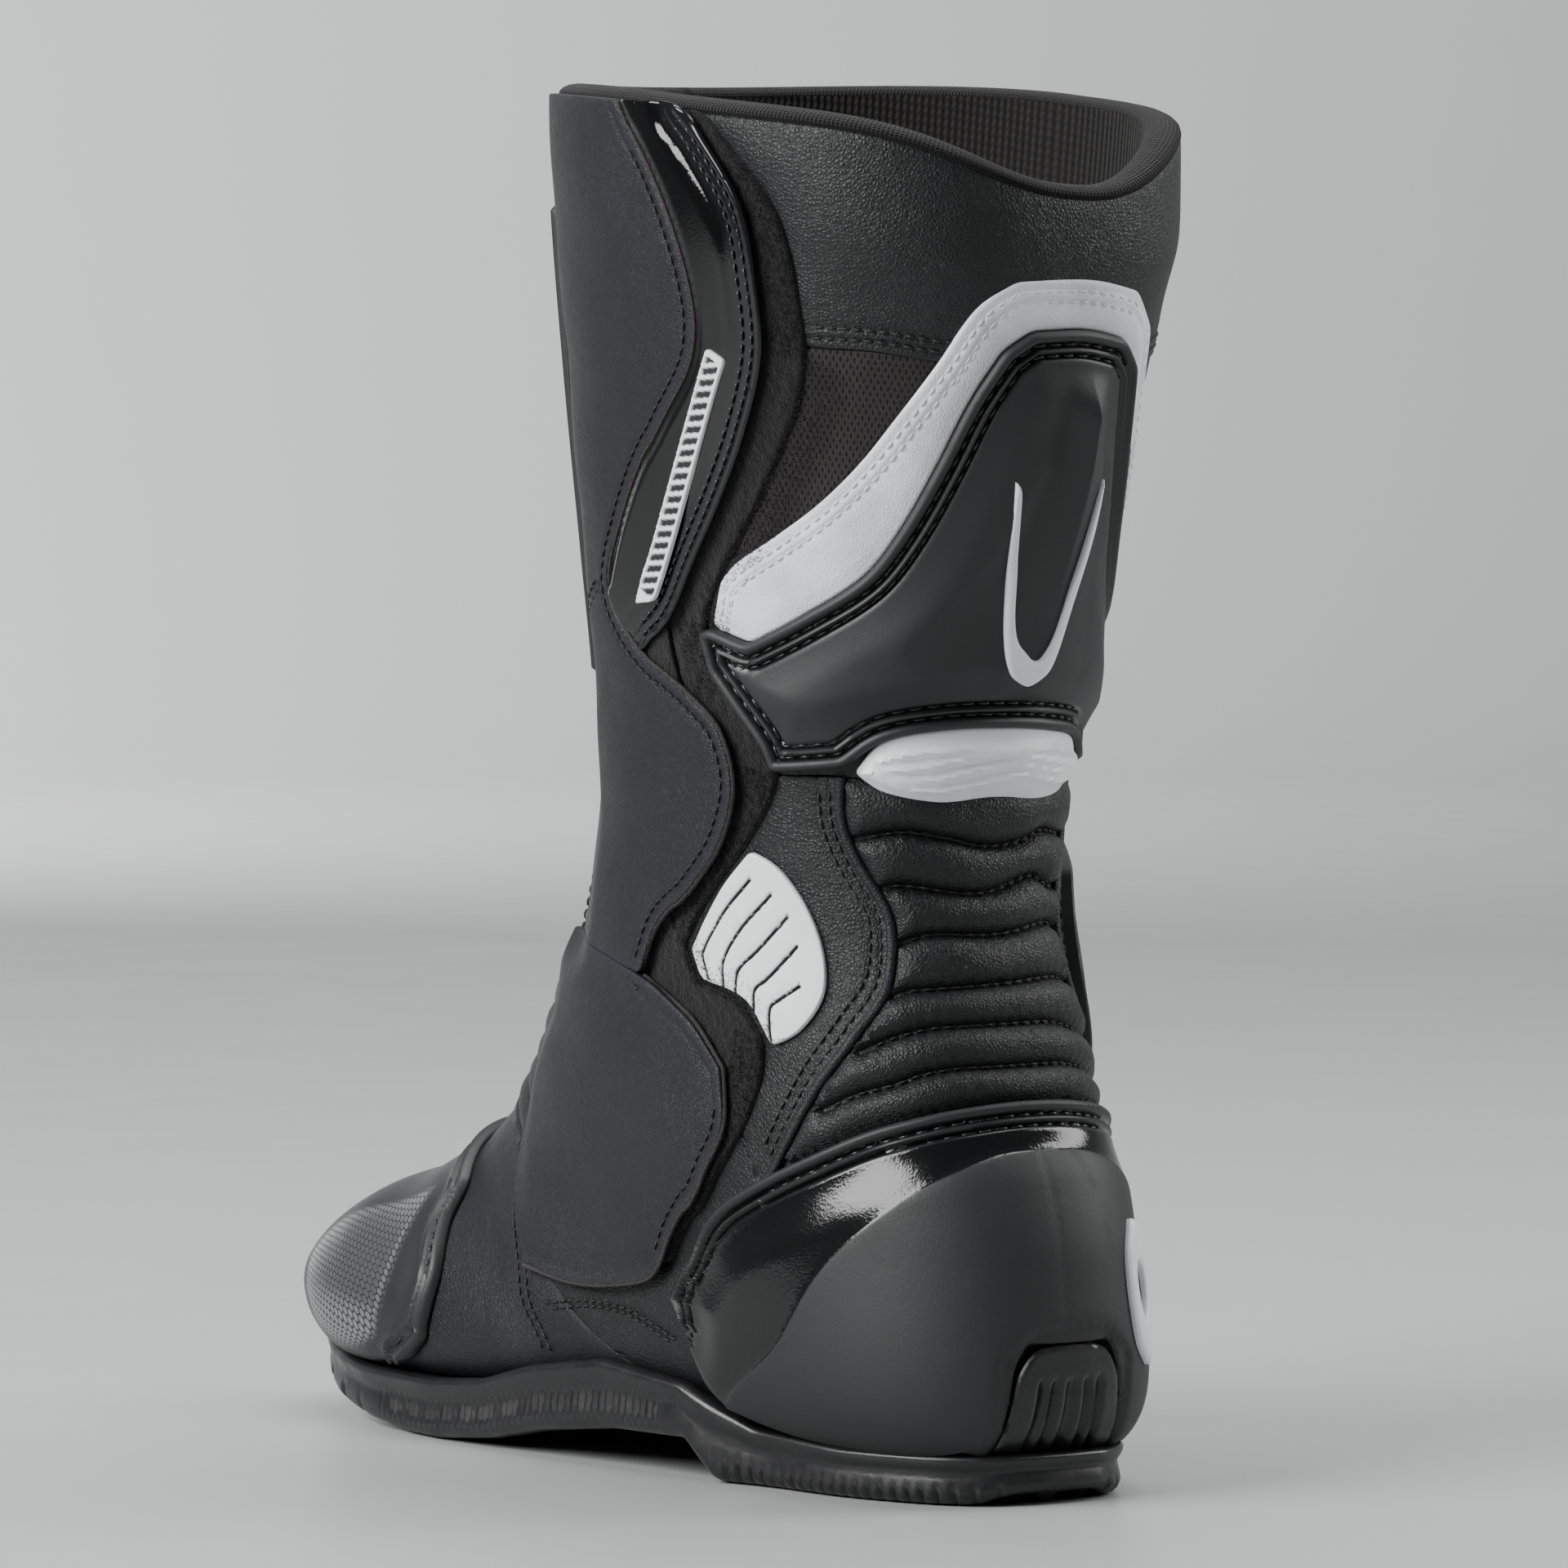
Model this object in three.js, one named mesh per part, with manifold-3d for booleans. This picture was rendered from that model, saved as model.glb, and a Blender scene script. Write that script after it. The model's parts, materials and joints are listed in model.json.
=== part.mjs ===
// A motorcycle touring boot for the right foot, 50 separate pieces.
//
// Frame: millimetres, +Z up, +Y to the toe, +X to the outside of the foot.
// The origin is on the ground, at the middle of the boot's box.
//
// Every panel of the upper lies on one surface, which runs from the mouth of the
// shaft (station 0) over the ankle and heel to the tip of the toe (station 15).
// A place on it is [angle, station]: angle 0 is the front of the shaft and the top
// of the foot, 90 the inner side, 180 the back of the leg and the sole, 270 the
// outer side. Depth is measured along the surface's normal, positive outwards.
import * as THREE from 'three';
import { mergeVertices } from 'three/addons/utils/BufferGeometryUtils.js';
import Module from 'manifold-3d';

const wasm = await Module();
wasm.setup();

// Driving dimensions
const FOOT_LENGTH = 278;        // back of the heel to the tip of the toe, on the surface
const SHAFT_HEIGHT = 340;       // ground to the front of the shaft's mouth
const FOOT_WIDTH = 102;         // across the ball of the foot
const SHAFT_WIDTH = 130;        // across the mouth of the shaft
const LEATHER = 1.6;            // outer leather
const FOAM = 3.5;               // padding, stiffeners and insole board
const LINING = 2.0;             // lining
const OVERLAY = 1.3;            // white leather, loop tape and toe cap film
const SHELL = 3.0;              // moulded guards
const FLAP = 1.4;               // flap leather and its trim
const FOOTBED = 3.4;            // removable footbed
const CLEAR = 0.35;             // gap between layers
const SEAM = 0.5;               // gap between neighbouring panels
const SOLE_RIM = 3.4;           // how far the sole stands out past the upper
const ARCH_LIFT = 8;            // underside of the arch above the ground
const TAPE = 0.8;               // zip tape
const ZIP = { angle: 75, top: 0.4, bottom: 4.0 };   // on the inner side, in stations
const TEETH = { width: 3.4, thickness: 1.2 };
const SLIDER = { width: 9, length: 13, thickness: 1.8 };
const SLIDER_INSET = 3;         // slider below the end of the teeth when closed
const PULL = { width: 6, length: 24, thickness: 0.8 };
const BINDING_RADIUS = 1.7;     // rolled edge of the shaft's mouth
const HOOK = 0.7;               // hook tape under the flap
const EMBLEM = 0.6;             // raised emblems
const SOLE_EDGE = 1.6;          // bevel along the underside of the sole
const BOND_LINE = 0.1167;       // gap between the sole and the upper

// Layers of the upper, from the lining outwards: [inner depth, outer depth]
const LAYER = {};
LAYER.base = [-CLEAR - LEATHER, -CLEAR];
LAYER.foam = [LAYER.base[0] - CLEAR - FOAM, LAYER.base[0] - CLEAR];
LAYER.lining = [LAYER.foam[0] - CLEAR - LINING, LAYER.foam[0] - CLEAR];
LAYER.footbed = [LAYER.lining[0] - CLEAR - FOOTBED, LAYER.lining[0] - CLEAR];
LAYER.overlay = [0, OVERLAY];
LAYER.shell = [0, SHELL];
LAYER.loop = [LAYER.base[0], OVERLAY];
LAYER.hook = [OVERLAY + CLEAR, OVERLAY + CLEAR + HOOK];
LAYER.flap = [LAYER.hook[1] + CLEAR, LAYER.hook[1] + CLEAR + FLAP];
LAYER.instepFlap = [OVERLAY + CLEAR, OVERLAY + CLEAR + FLAP];

// ---------------------------------------------------------------- the surface

// One closed section of the boot per station: front (or top) y and z, back (or
// bottom) y and z, the half widths on the inner and outer side, where between back
// and front the section is widest, and how square its front and back halves are.
const STATIONS = [
  [22, 340, -141, 317, 63, 64, 0.50, 2.2, 2.3],
  [22, 300, -138, 278, 60, 61, 0.50, 2.2, 2.3],
  [20, 257, -129, 239, 55, 55, 0.50, 2.2, 2.3],
  [17, 217, -117, 200, 50, 50, 0.50, 2.2, 2.3],
  [17, 184, -109, 162, 45, 46, 0.50, 2.2, 2.3],
  [23, 155, -111, 128, 42, 43, 0.48, 2.2, 2.3],
  [34, 128, -124, 92, 43, 42, 0.46, 2.2, 2.3],
  [46, 108, -137, 54, 45, 42, 0.46, 2.2, 2.3],
  [56, 94, -134, 16, 45, 44, 0.42, 2.2, 2.6],
  [67, 83, -93, 10, 45, 48, 0.38, 2.1, 2.8],
  [80, 71, -30, 13, 46, 51, 0.34, 2.1, 2.8],
  [95, 62, 30, 9, 49, 54, 0.32, 2.1, 2.8],
  [110, 57, 78, 9, 48, 52, 0.34, 2.3, 2.8],
  [124, 50, 107, 13, 42, 44, 0.38, 2.3, 2.6],
  [136, 42, 129, 22, 29, 29, 0.42, 2.2, 2.4],
  [141, 34, 140.6, 32, 3, 3, 0.50, 2.0, 2.0],
];
const LAST_STATION = STATIONS.length - 1;
const DRAWN = { length: 278, height: 340, footWidth: 102, shaftWidth: 130, ankleStation: 6 };

// The stations were drawn for the sizes in DRAWN; this fits them to the driving ones.
function fitStation(station, index) {
  const lengthScale = FOOT_LENGTH / DRAWN.length;
  const heightScale = SHAFT_HEIGHT / DRAWN.height;
  const footScale = FOOT_WIDTH / DRAWN.footWidth;
  const shaftScale = SHAFT_WIDTH / DRAWN.shaftWidth;
  const shaftShare = Math.max(0, 1 - index / DRAWN.ankleStation);
  const widthScale = footScale + (shaftScale - footScale) * shaftShare;
  const factors = [
    lengthScale, heightScale, lengthScale, heightScale, widthScale, widthScale, 1, 1, 1,
  ];
  return station.map((value, k) => value * factors[k]);
}
const SECTIONS = STATIONS.map(fitStation);

// The section between two stations, on a smooth curve through all of them.
function sectionAt(station) {
  const position = THREE.MathUtils.clamp(station, 0, LAST_STATION);
  const index = Math.min(Math.floor(position), LAST_STATION - 1);
  const t = position - index;
  const here = SECTIONS[index];
  const next = SECTIONS[index + 1];
  return here.map((value, k) => {
    const before = index > 0 ? SECTIONS[index - 1][k] : 2 * value - next[k];
    const after = index + 2 <= LAST_STATION ? SECTIONS[index + 2][k] : 2 * next[k] - value;
    const linear = next[k] - before;
    const square = 2 * before - 5 * value + 4 * next[k] - after;
    const cube = 3 * value - before - 3 * next[k] + after;
    return 0.5 * (2 * value + linear * t + square * t * t + cube * t * t * t);
  });
}

function surfacePoint(angle, station) {
  const [frontY, frontZ, backY, backZ, inner, outer, widest, frontPower, backPower] = sectionAt(station);
  const cosine = Math.cos(THREE.MathUtils.degToRad(angle));
  const sine = Math.sin(THREE.MathUtils.degToRad(angle));
  const power = 2 / (cosine >= 0 ? frontPower : backPower);
  const reach = cosine >= 0 ? 1 - widest : widest;
  const along = widest + reach * Math.sign(cosine) * Math.abs(cosine) ** power;
  const side = Math.sign(sine) * Math.abs(sine) ** power;
  return new THREE.Vector3(
    -side * (sine >= 0 ? inner : outer),
    backY + (frontY - backY) * along,
    backZ + (frontZ - backZ) * along,
  );
}

function surfaceNormal(angle, station) {
  const angleStep = 2;
  const stationStep = 0.02;
  const alongAngle = surfacePoint(angle + angleStep, station).sub(surfacePoint(angle - angleStep, station));
  const nearer = Math.max(station - stationStep, 0);
  const further = Math.min(station + stationStep, LAST_STATION);
  const alongStation = surfacePoint(angle, further).sub(surfacePoint(angle, nearer));
  return alongStation.cross(alongAngle).normalize();
}

// The pieces share one grid of flat facets, so that layers stay parallel.
const GRID_ANGLE = 18;
const COLUMNS = 360 / GRID_ANGLE;
const ROWS = [0, 1, 2, 3, 4, 5, 6, 7, 7.5, 8, 8.5, 9, 10, 11, 12, 13, 14, 14.6, 15];
const gridNodes = new Map();

function gridNode(column, row) {
  const around = ((column % COLUMNS) + COLUMNS) % COLUMNS;
  const key = around * ROWS.length + row;
  if (!gridNodes.has(key)) {
    const angle = around * GRID_ANGLE;
    gridNodes.set(key, {
      point: surfacePoint(angle, ROWS[row]),
      normal: surfaceNormal(angle, ROWS[row]),
    });
  }
  return gridNodes.get(key);
}

function rowOf(station) {
  let row = 0;
  while (row < ROWS.length - 2 && station > ROWS[row + 1]) {
    row += 1;
  }
  return row + (station - ROWS[row]) / (ROWS[row + 1] - ROWS[row]);
}

// The three grid nodes of the facet that holds a place, with their weights.
function facetOf(columnPlace, rowPlace) {
  const column = Math.floor(columnPlace);
  const row = Math.min(Math.max(Math.floor(rowPlace), 0), ROWS.length - 2);
  const a = columnPlace - column;
  const b = rowPlace - row;
  if (a + b <= 1) {
    return [[column, row, 1 - a - b], [column + 1, row, a], [column, row + 1, b]];
  }
  return [[column + 1, row + 1, a + b - 1], [column, row + 1, 1 - a], [column + 1, row, 1 - b]];
}

function facetPoint(columnPlace, rowPlace, depth) {
  const point = new THREE.Vector3();
  for (const [column, row, weight] of facetOf(columnPlace, rowPlace)) {
    const node = gridNode(column, row);
    point.addScaledVector(node.point, weight);
    point.addScaledVector(node.normal, weight * depth);
  }
  return point;
}

function placeOn(angle, station, depth) {
  return facetPoint(angle / GRID_ANGLE, rowOf(station), depth);
}

// ------------------------------------------------------------ building solids

function toSolid(positions, triangles) {
  const vertProperties = Float32Array.from(positions);
  const triVerts = Uint32Array.from(triangles);
  return new wasm.Manifold(new wasm.Mesh({ numProp: 3, vertProperties, triVerts }));
}

function geometryToSolid(geometry) {
  geometry.deleteAttribute('normal');
  geometry.deleteAttribute('uv');
  const merged = mergeVertices(geometry, 1e-4);
  return toSolid(merged.attributes.position.array, merged.index.array);
}

function toGeometry(positions, triangles) {
  const geometry = new THREE.BufferGeometry();
  geometry.setAttribute('position', new THREE.BufferAttribute(Float32Array.from(positions), 3));
  geometry.setIndex(Array.from(triangles));
  return geometry;
}

function solidToGeometry(solid) {
  const mesh = solid.getMesh();
  return toGeometry(mesh.vertProperties, mesh.triVerts);
}

// A slight crown over the flat chart keeps every grid edge through the boolean.
const CROWN = 0.01;
const crown = (column, row) => CROWN * (column * column + column * row + row * row);

function crownAt(columnPlace, rowPlace) {
  return facetOf(columnPlace, rowPlace)
    .reduce((sum, [column, row, weight]) => sum + weight * crown(column, row), 0);
}

// A closed slab of grid cells in the chart, between two depths.
function chartSlab(box, innerDepth, outerDepth) {
  const positions = [];
  const triangles = [];
  const across = box.lastColumn - box.firstColumn + 1;
  const count = across * (box.lastRow - box.firstRow + 1);
  for (const depth of [innerDepth, outerDepth]) {
    for (let row = box.firstRow; row <= box.lastRow; row += 1) {
      for (let column = box.firstColumn; column <= box.lastColumn; column += 1) {
        positions.push(column, row, depth + crown(column, row));
      }
    }
  }
  const rows = box.lastRow - box.firstRow;
  for (let r = 0; r < rows; r += 1) {
    for (let c = 0; c < across - 1; c += 1) {
      const corner = r * across + c;
      const [p, q, s, t] = [corner, corner + 1, corner + across, corner + across + 1];
      triangles.push(p + count, q + count, s + count, q + count, t + count, s + count);
      triangles.push(p, s, q, q, s, t);
    }
  }
  const wall = (a, b) => triangles.push(a, b, b + count, a, b + count, a + count);
  for (let c = 0; c < across - 1; c += 1) {
    wall(c, c + 1);
    wall(rows * across + c + 1, rows * across + c);
  }
  for (let r = 0; r < rows; r += 1) {
    wall((r + 1) * across, r * across);
    wall(r * across + across - 1, (r + 1) * across + across - 1);
  }
  return toSolid(positions, triangles);
}

// Millimetres per degree and per station at a place.
function chartScale(angle, station) {
  const low = Math.max(station - 0.1, 0);
  const high = Math.min(station + 0.1, LAST_STATION);
  return [
    surfacePoint(angle + 1, station).distanceTo(surfacePoint(angle - 1, station)) / 2,
    surfacePoint(angle, high).distanceTo(surfacePoint(angle, low)) / (high - low),
  ];
}

// Moves each point of an outline inwards by a distance in millimetres.
function inset(outline, distance) {
  const area = outline.reduce((sum, [x, y], i) => {
    const [nextX, nextY] = outline[(i + 1) % outline.length];
    return sum + x * nextY - nextX * y;
  }, 0);
  const turn = Math.sign(area);
  return outline.map(([angle, station], i) => {
    const [perAngle, perStation] = chartScale(angle, station);
    const edgeTo = ([otherAngle, otherStation]) => new THREE.Vector2(
      (otherAngle - angle) * perAngle,
      (otherStation - station) * perStation,
    ).normalize();
    const before = edgeTo(outline[(i + outline.length - 1) % outline.length]).negate();
    const after = edgeTo(outline[(i + 1) % outline.length]);
    const normal = new THREE.Vector2(-before.y - after.y, before.x + after.x).multiplyScalar(turn);
    const length = Math.max(normal.length(), 0.7);
    const move = (2 * distance) / (length * length);
    return [angle + (normal.x * move) / perAngle, station + (normal.y * move) / perStation];
  });
}

function outlinePrism(outline) {
  const height = 200;
  const shape = new THREE.Shape(outline.map(([angle, station]) => (
    new THREE.Vector2(angle / GRID_ANGLE, rowOf(station))
  )));
  const geometry = new THREE.ExtrudeGeometry(shape, { depth: height, bevelEnabled: false });
  geometry.translate(0, 0, -height / 2);
  return geometryToSolid(geometry);
}

// The outline cut into the grid's facets, as flat triangles on the chart.
function chartTriangles(outline, holes) {
  const places = outline.map(([angle, station]) => [angle / GRID_ANGLE, rowOf(station)]);
  const columns = places.map((place) => place[0]);
  const rows = places.map((place) => place[1]);
  const box = {
    firstColumn: Math.floor(Math.min(...columns)) - 1,
    lastColumn: Math.ceil(Math.max(...columns)) + 1,
    firstRow: Math.max(Math.floor(Math.min(...rows)), 0),
    lastRow: Math.min(Math.ceil(Math.max(...rows)), ROWS.length - 1),
  };
  let solid = chartSlab(box, -1, 1).intersect(outlinePrism(outline));
  for (const hole of holes) {
    solid = solid.subtract(outlinePrism(hole));
  }
  const { vertProperties, triVerts } = solid.getMesh();
  const isTop = (vertex) => {
    const [column, row, height] = vertProperties.slice(3 * vertex, 3 * vertex + 3);
    return height - crownAt(column, row) > 0.5;
  };
  const triangles = [];
  for (let i = 0; i < triVerts.length; i += 3) {
    const corners = [...triVerts.slice(i, i + 3)];
    if (corners.every(isTop)) {
      triangles.push(corners);
    }
  }
  return { vertProperties, triangles };
}

// A panel of the upper: its flat triangles laid on the surface at two depths and
// joined by a wall along every edge that only one triangle has.
function panelSolid(outline, [innerDepth, outerDepth], holes = []) {
  const { vertProperties, triangles } = chartTriangles(outline, holes);
  const numbers = new Map();
  const positions = [];
  const numberOf = (vertex, depth) => {
    const key = `${vertex}:${depth}`;
    if (!numbers.has(key)) {
      const [column, row] = vertProperties.slice(3 * vertex, 3 * vertex + 2);
      numbers.set(key, numbers.size);
      positions.push(...facetPoint(column, row, depth).toArray());
    }
    return numbers.get(key);
  };
  const outer = (vertex) => numberOf(vertex, outerDepth);
  const inner = (vertex) => numberOf(vertex, innerDepth);
  const edges = new Set();
  for (const [a, b, c] of triangles) {
    edges.add(`${a}:${b}`).add(`${b}:${c}`).add(`${c}:${a}`);
  }
  const faces = [];
  for (const [a, b, c] of triangles) {
    faces.push(outer(a), outer(c), outer(b), inner(a), inner(b), inner(c));
  }
  for (const edge of edges) {
    const [a, b] = edge.split(':').map(Number);
    if (!edges.has(`${b}:${a}`)) {
      faces.push(outer(a), outer(b), inner(b), outer(a), inner(b), inner(a));
    }
  }
  return { positions, triangles: faces };
}

// -------------------------------------------------------------- the materials

const finish = (color, roughness, metalness = 0) => (
  new THREE.MeshStandardMaterial({ color, roughness, metalness })
);
const MATERIALS = {
  blackLeather: finish(0x1e2128, 0.55),
  grainLeather: finish(0x24262a, 0.65),
  whiteLeather: finish(0xe2e5e8, 0.5),
  whiteShell: finish(0xeceeee, 0.4),
  matteShell: finish(0x343536, 0.6),
  glossShell: finish(0x141517, 0.15),
  greyShell: finish(0xb9bcbf, 0.45),
  mesh: finish(0x231e1e, 0.9),
  knit: finish(0x14120f, 0.95),
  loopTape: finish(0x2b2c2f, 1.0),
  rubber: finish(0x232426, 0.5),
  foam: finish(0x6d6f72, 0.95),
  board: finish(0x8a6f4f, 0.9),
  steel: finish(0x9a9da0, 0.35, 0.9),
  zipMetal: finish(0x2a2b2d, 0.35, 0.8),
};

const boot = new THREE.Group();

function addPiece(name, geometry, material) {
  const mesh = new THREE.Mesh(geometry, material);
  mesh.name = name;
  boot.add(mesh);
  return mesh;
}

// Adds a panel; its outline is drawn to the middle of the seams around it.
function addPanel(name, outline, layer, material, holes = []) {
  const cut = inset(outline, SEAM / 2);
  const { positions, triangles } = panelSolid(cut, layer, holes);
  return addPiece(name, toGeometry(positions, triangles), material);
}

const mirrored = (outline) => outline.map(([angle, station]) => [360 - angle, station]).reverse();
const reversed = (line) => [...line].reverse();

// A round outline on the surface, for screw heads and their holes.
function discOutline(angle, station, radius, sides = 10) {
  const [perAngle, perStation] = chartScale(angle, station);
  return Array.from({ length: sides }, (_, i) => {
    const turn = (2 * Math.PI * i) / sides;
    return [
      angle + (radius * Math.cos(turn)) / perAngle,
      station + (radius * Math.sin(turn)) / perStation,
    ];
  });
}

// ------------------------------------------------------- lines that are shared

// The mouth of the shaft dips at the back of the leg and a little at the shin.
function mouthStation(angle) {
  const wrapped = ((angle % 360) + 360) % 360;
  const fromFront = Math.min(wrapped, 360 - wrapped);
  const backDip = 0.37 * Math.exp(-(((wrapped - 185) / 31) ** 2));
  const frontDip = 0.35 * Math.exp(-((fromFront / 85) ** 2));
  return 0.1 + backDip + frontDip;
}

function mouthLine(from, to) {
  const line = [];
  const steps = Math.max(1, Math.round(Math.abs(to - from) / 14));
  for (let i = 0; i <= steps; i += 1) {
    const angle = from + ((to - from) * i) / steps;
    line.push([angle, mouthStation(angle)]);
  }
  return line;
}

const COLLAR_SEAM = 1.45;        // lower edge of the collar leather
const GUARD_BOTTOM = 3.96;       // shaft panels above, ankle panels below
const ANKLE_FRONT = 6.05;        // shaft front above, instep bellows below
const BELLOWS_EDGE = 47;         // sides of the instep bellows
const CHANNEL = { front: 67, rear: 83, bottom: 5.0 };
const OUTER_FRONT = 294;         // front edge of the outer side's panels
const OUTER_BACK = 241;          // back edge of the outer shaft panel

// Loop tape, down its outer edge from the mouth to the instep
const LOOP_UPPER = [
  [110, 0.39], [118, 0.65], [122, 0.95], [125, 1.42], [124, 1.75], [120, 2.05],
  [114, 2.4], [108, 2.7], [104, 2.9], [101, 3.16], [104, 3.45], [112, 3.68], [118, 3.86],
];
const LOOP_ANKLE = [[120, 4.03], [117, 4.25], [110, 4.55], [101, 4.88], [93, 5.22], [89, 5.5], [91, 5.73]];
const LOOP_LOWER = [[103, 5.76], [108, 5.95], [107, 6.2], [101, 6.7], [94, 7.2], [88, 7.7], [86, 8.15]];

// Top edge of the heel counter on the inner side, from the arch to the back seam
const HEEL_TOP = [[105, 7.0], [118, 6.64], [134, 6.33], [151, 6.14], [166, 6.05], [180, 6.02]];
// Front edge of the achilles bellows, from the guard down to the heel counter
const BELLOWS_FRONT = [
  [138, GUARD_BOTTOM], [138, 4.28], [142, 4.54], [149, 4.85], [149, 5.1],
  [145, 5.38], [134, 5.71], [122, 6.11], [114, 6.5], [108, 6.9],
];
// Free edge of the flap's leather, from the mouth to the notch at the ankle
const FLAP_EDGE_UPPER = [[88, 0.3], [98, 0.85], [102, 1.3], [101, 1.6], [94, 1.96], [81, 2.65], [75, 3.0]];
const FLAP_EDGE_ANKLE = [
  [77, 3.2], [86, 3.43], [99, 3.62], [107, 3.8], [110, 4.15], [105, 4.58], [96, 4.97], [85, 5.42], [80, 5.8],
];
const HINGE_LINE = [[53, 5.8], [53, 5.0], [54, 4.0], [54, 3.0], [53, 2.0], [53, 1.0], [53, 0.45]];
// Where the upper ends under the sole's rim, from the back seam to the toe
const FEATHER = [[180, 8.1], [160, 8.2], [146, 8.55], [132, 9.1], [124, 9.6]];
// The stripe over the calf guard: its outer edge, then its inner edge
const STRIPE_OUTER = [
  [104, 3.1], [106, 2.86], [110, 2.74], [118, 2.58], [129, 2.34], [138, 2.08], [146, 1.78], [154, 1.46],
  [162, 1.11], [170, 0.95], [184, 0.94], [199, 1.02],
  [208, 1.25], [213, 1.74], [221, 2.2], [235, 2.55], [250, 2.76], [255, 3.06],
];
const STRIPE_INNER = [
  [104, 3.16], [114, 3.21], [128, 2.98], [142, 2.71], [149, 2.44], [156, 2.04], [162, 1.65], [168, 1.36],
  [174, 1.24], [184, 1.23], [195, 1.29], [201, 1.45], [206, 2.0],
  [213, 2.5], [224, 2.9], [240, 3.16], [254, 3.2],
];
const GUARD_LOWER = [
  [120, 4.0], [140, 3.88], [150, 3.69], [164, 3.6], [180, 3.58], [197, 3.62], [210, 3.7],
  [220, 3.88], [240, 4.0],
];

// ------------------------------------------------------ sole and inside pieces

// Sole sections from heel to toe: place, half widths, underside as a share of the
// arch's lift, top of the rim
const SOLE_SECTIONS = [
  { y: -137, inner: 11, outer: 11, lift: 0.3, top: 12 },
  { y: -132, inner: 20, outer: 20, lift: 0, top: 12 },
  { y: -122, inner: 28, outer: 28, lift: 0, top: 12 },
  { y: -100, inner: 36, outer: 36, lift: 0, top: 12 },
  { y: -72, inner: 40, outer: 42, lift: 0, top: 14 },
  { y: -57, inner: 45, outer: 48, lift: 0, top: 20 },
  { y: -50, inner: 46, outer: 50, lift: 1, top: 23 },
  { y: -20, inner: 48, outer: 52, lift: 1, top: 26 },
  { y: 8, inner: 50, outer: 55, lift: 0.8, top: 22 },
  { y: 20, inner: 50, outer: 55, lift: 0, top: 18 },
  { y: 60, inner: 49, outer: 54, lift: 0, top: 15 },
  { y: 84, inner: 47, outer: 51, lift: 0.15, top: 15 },
  { y: 104, inner: 42, outer: 44, lift: 0.5, top: 17 },
  { y: 120, inner: 34, outer: 35, lift: 0.9, top: 20 },
  { y: 134, inner: 23, outer: 23, lift: 1.3, top: 24 },
  { y: 143, inner: 10, outer: 10, lift: 1.7, top: 27 },
];

function soleBlock() {
  const lengthScale = FOOT_LENGTH / DRAWN.length;
  const widthScale = FOOT_WIDTH / DRAWN.footWidth;
  const heightScale = SHAFT_HEIGHT / DRAWN.height;
  const rings = SOLE_SECTIONS.map(({ y, inner, outer, lift, top }) => {
    const low = lift * ARCH_LIFT;
    const high = top * heightScale;
    const left = -inner * widthScale;
    const right = outer * widthScale;
    return [
      [left + SOLE_EDGE, low], [right - SOLE_EDGE, low], [right, low + SOLE_EDGE], [right, high],
      [left, high], [left, low + SOLE_EDGE],
    ].map(([x, z]) => [x, y * lengthScale, z]);
  });
  const sides = rings[0].length;
  const positions = rings.flat(2);
  const triangles = [];
  for (let ring = 0; ring < rings.length - 1; ring += 1) {
    for (let i = 0; i < sides; i += 1) {
      const a = ring * sides + i;
      const b = ring * sides + ((i + 1) % sides);
      triangles.push(a, a + sides, b, b, a + sides, b + sides);
    }
  }
  for (let i = 1; i < sides - 1; i += 1) {
    const last = (rings.length - 1) * sides;
    triangles.push(0, i, i + 1);
    triangles.push(last, last + i + 1, last + i);
  }
  return { positions, triangles };
}

// Rings of points round the upper at a depth, one per row of the grid.
function ringRows(firstStation, depth) {
  return ROWS.filter((station) => station >= firstStation).map((station) => (
    Array.from({ length: COLUMNS }, (_, column) => placeOn(column * GRID_ANGLE, station, depth))
  ));
}

// Joins neighbouring rings with triangles, facing out or in.
function closedTube(rings, triangles, offset, outwards) {
  const push = (a, b, c) => triangles.push(...(outwards ? [a, b, c] : [a, c, b]));
  for (let ring = 0; ring < rings - 1; ring += 1) {
    for (let i = 0; i < COLUMNS; i += 1) {
      const a = offset + ring * COLUMNS + i;
      const b = offset + ring * COLUMNS + ((i + 1) % COLUMNS);
      push(a, a + COLUMNS, b);
      push(b, a + COLUMNS, b + COLUMNS);
    }
  }
  return push;
}

// Closes the first or the last ring with a flat fan.
function capRing(push, ring, offset, atEnd) {
  const first = offset + ring * COLUMNS;
  for (let i = 1; i < COLUMNS - 1; i += 1) {
    if (atEnd) {
      push(first, first + i + 1, first + i);
    } else {
      push(first, first + i, first + i + 1);
    }
  }
}

// The closed body that the upper fills, from one station to the tip of the toe.
function lastBody(firstStation, depth) {
  const rings = ringRows(firstStation, depth);
  const positions = rings.flat().flatMap((point) => point.toArray());
  const triangles = [];
  const push = closedTube(rings.length, triangles, 0, true);
  capRing(push, 0, 0, false);
  capRing(push, rings.length - 1, 0, true);
  return toSolid(positions, triangles);
}

// The sole block, hollowed to the upper, with a ribbed pad up the back of the heel.
function outsoleGeometry() {
  const block = soleBlock();
  const pad = panelSolid(
    [[168, 7.5], [172, 7.44], [188, 7.44], [192, 7.5], [192, 8.3], [168, 8.3]],
    [CLEAR / 2, SOLE_RIM],
  );
  const sole = toSolid(block.positions, block.triangles)
    .add(toSolid(pad.positions, pad.triangles))
    .subtract(lastBody(5, BOND_LINE));
  return solidToGeometry(sole);
}

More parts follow.
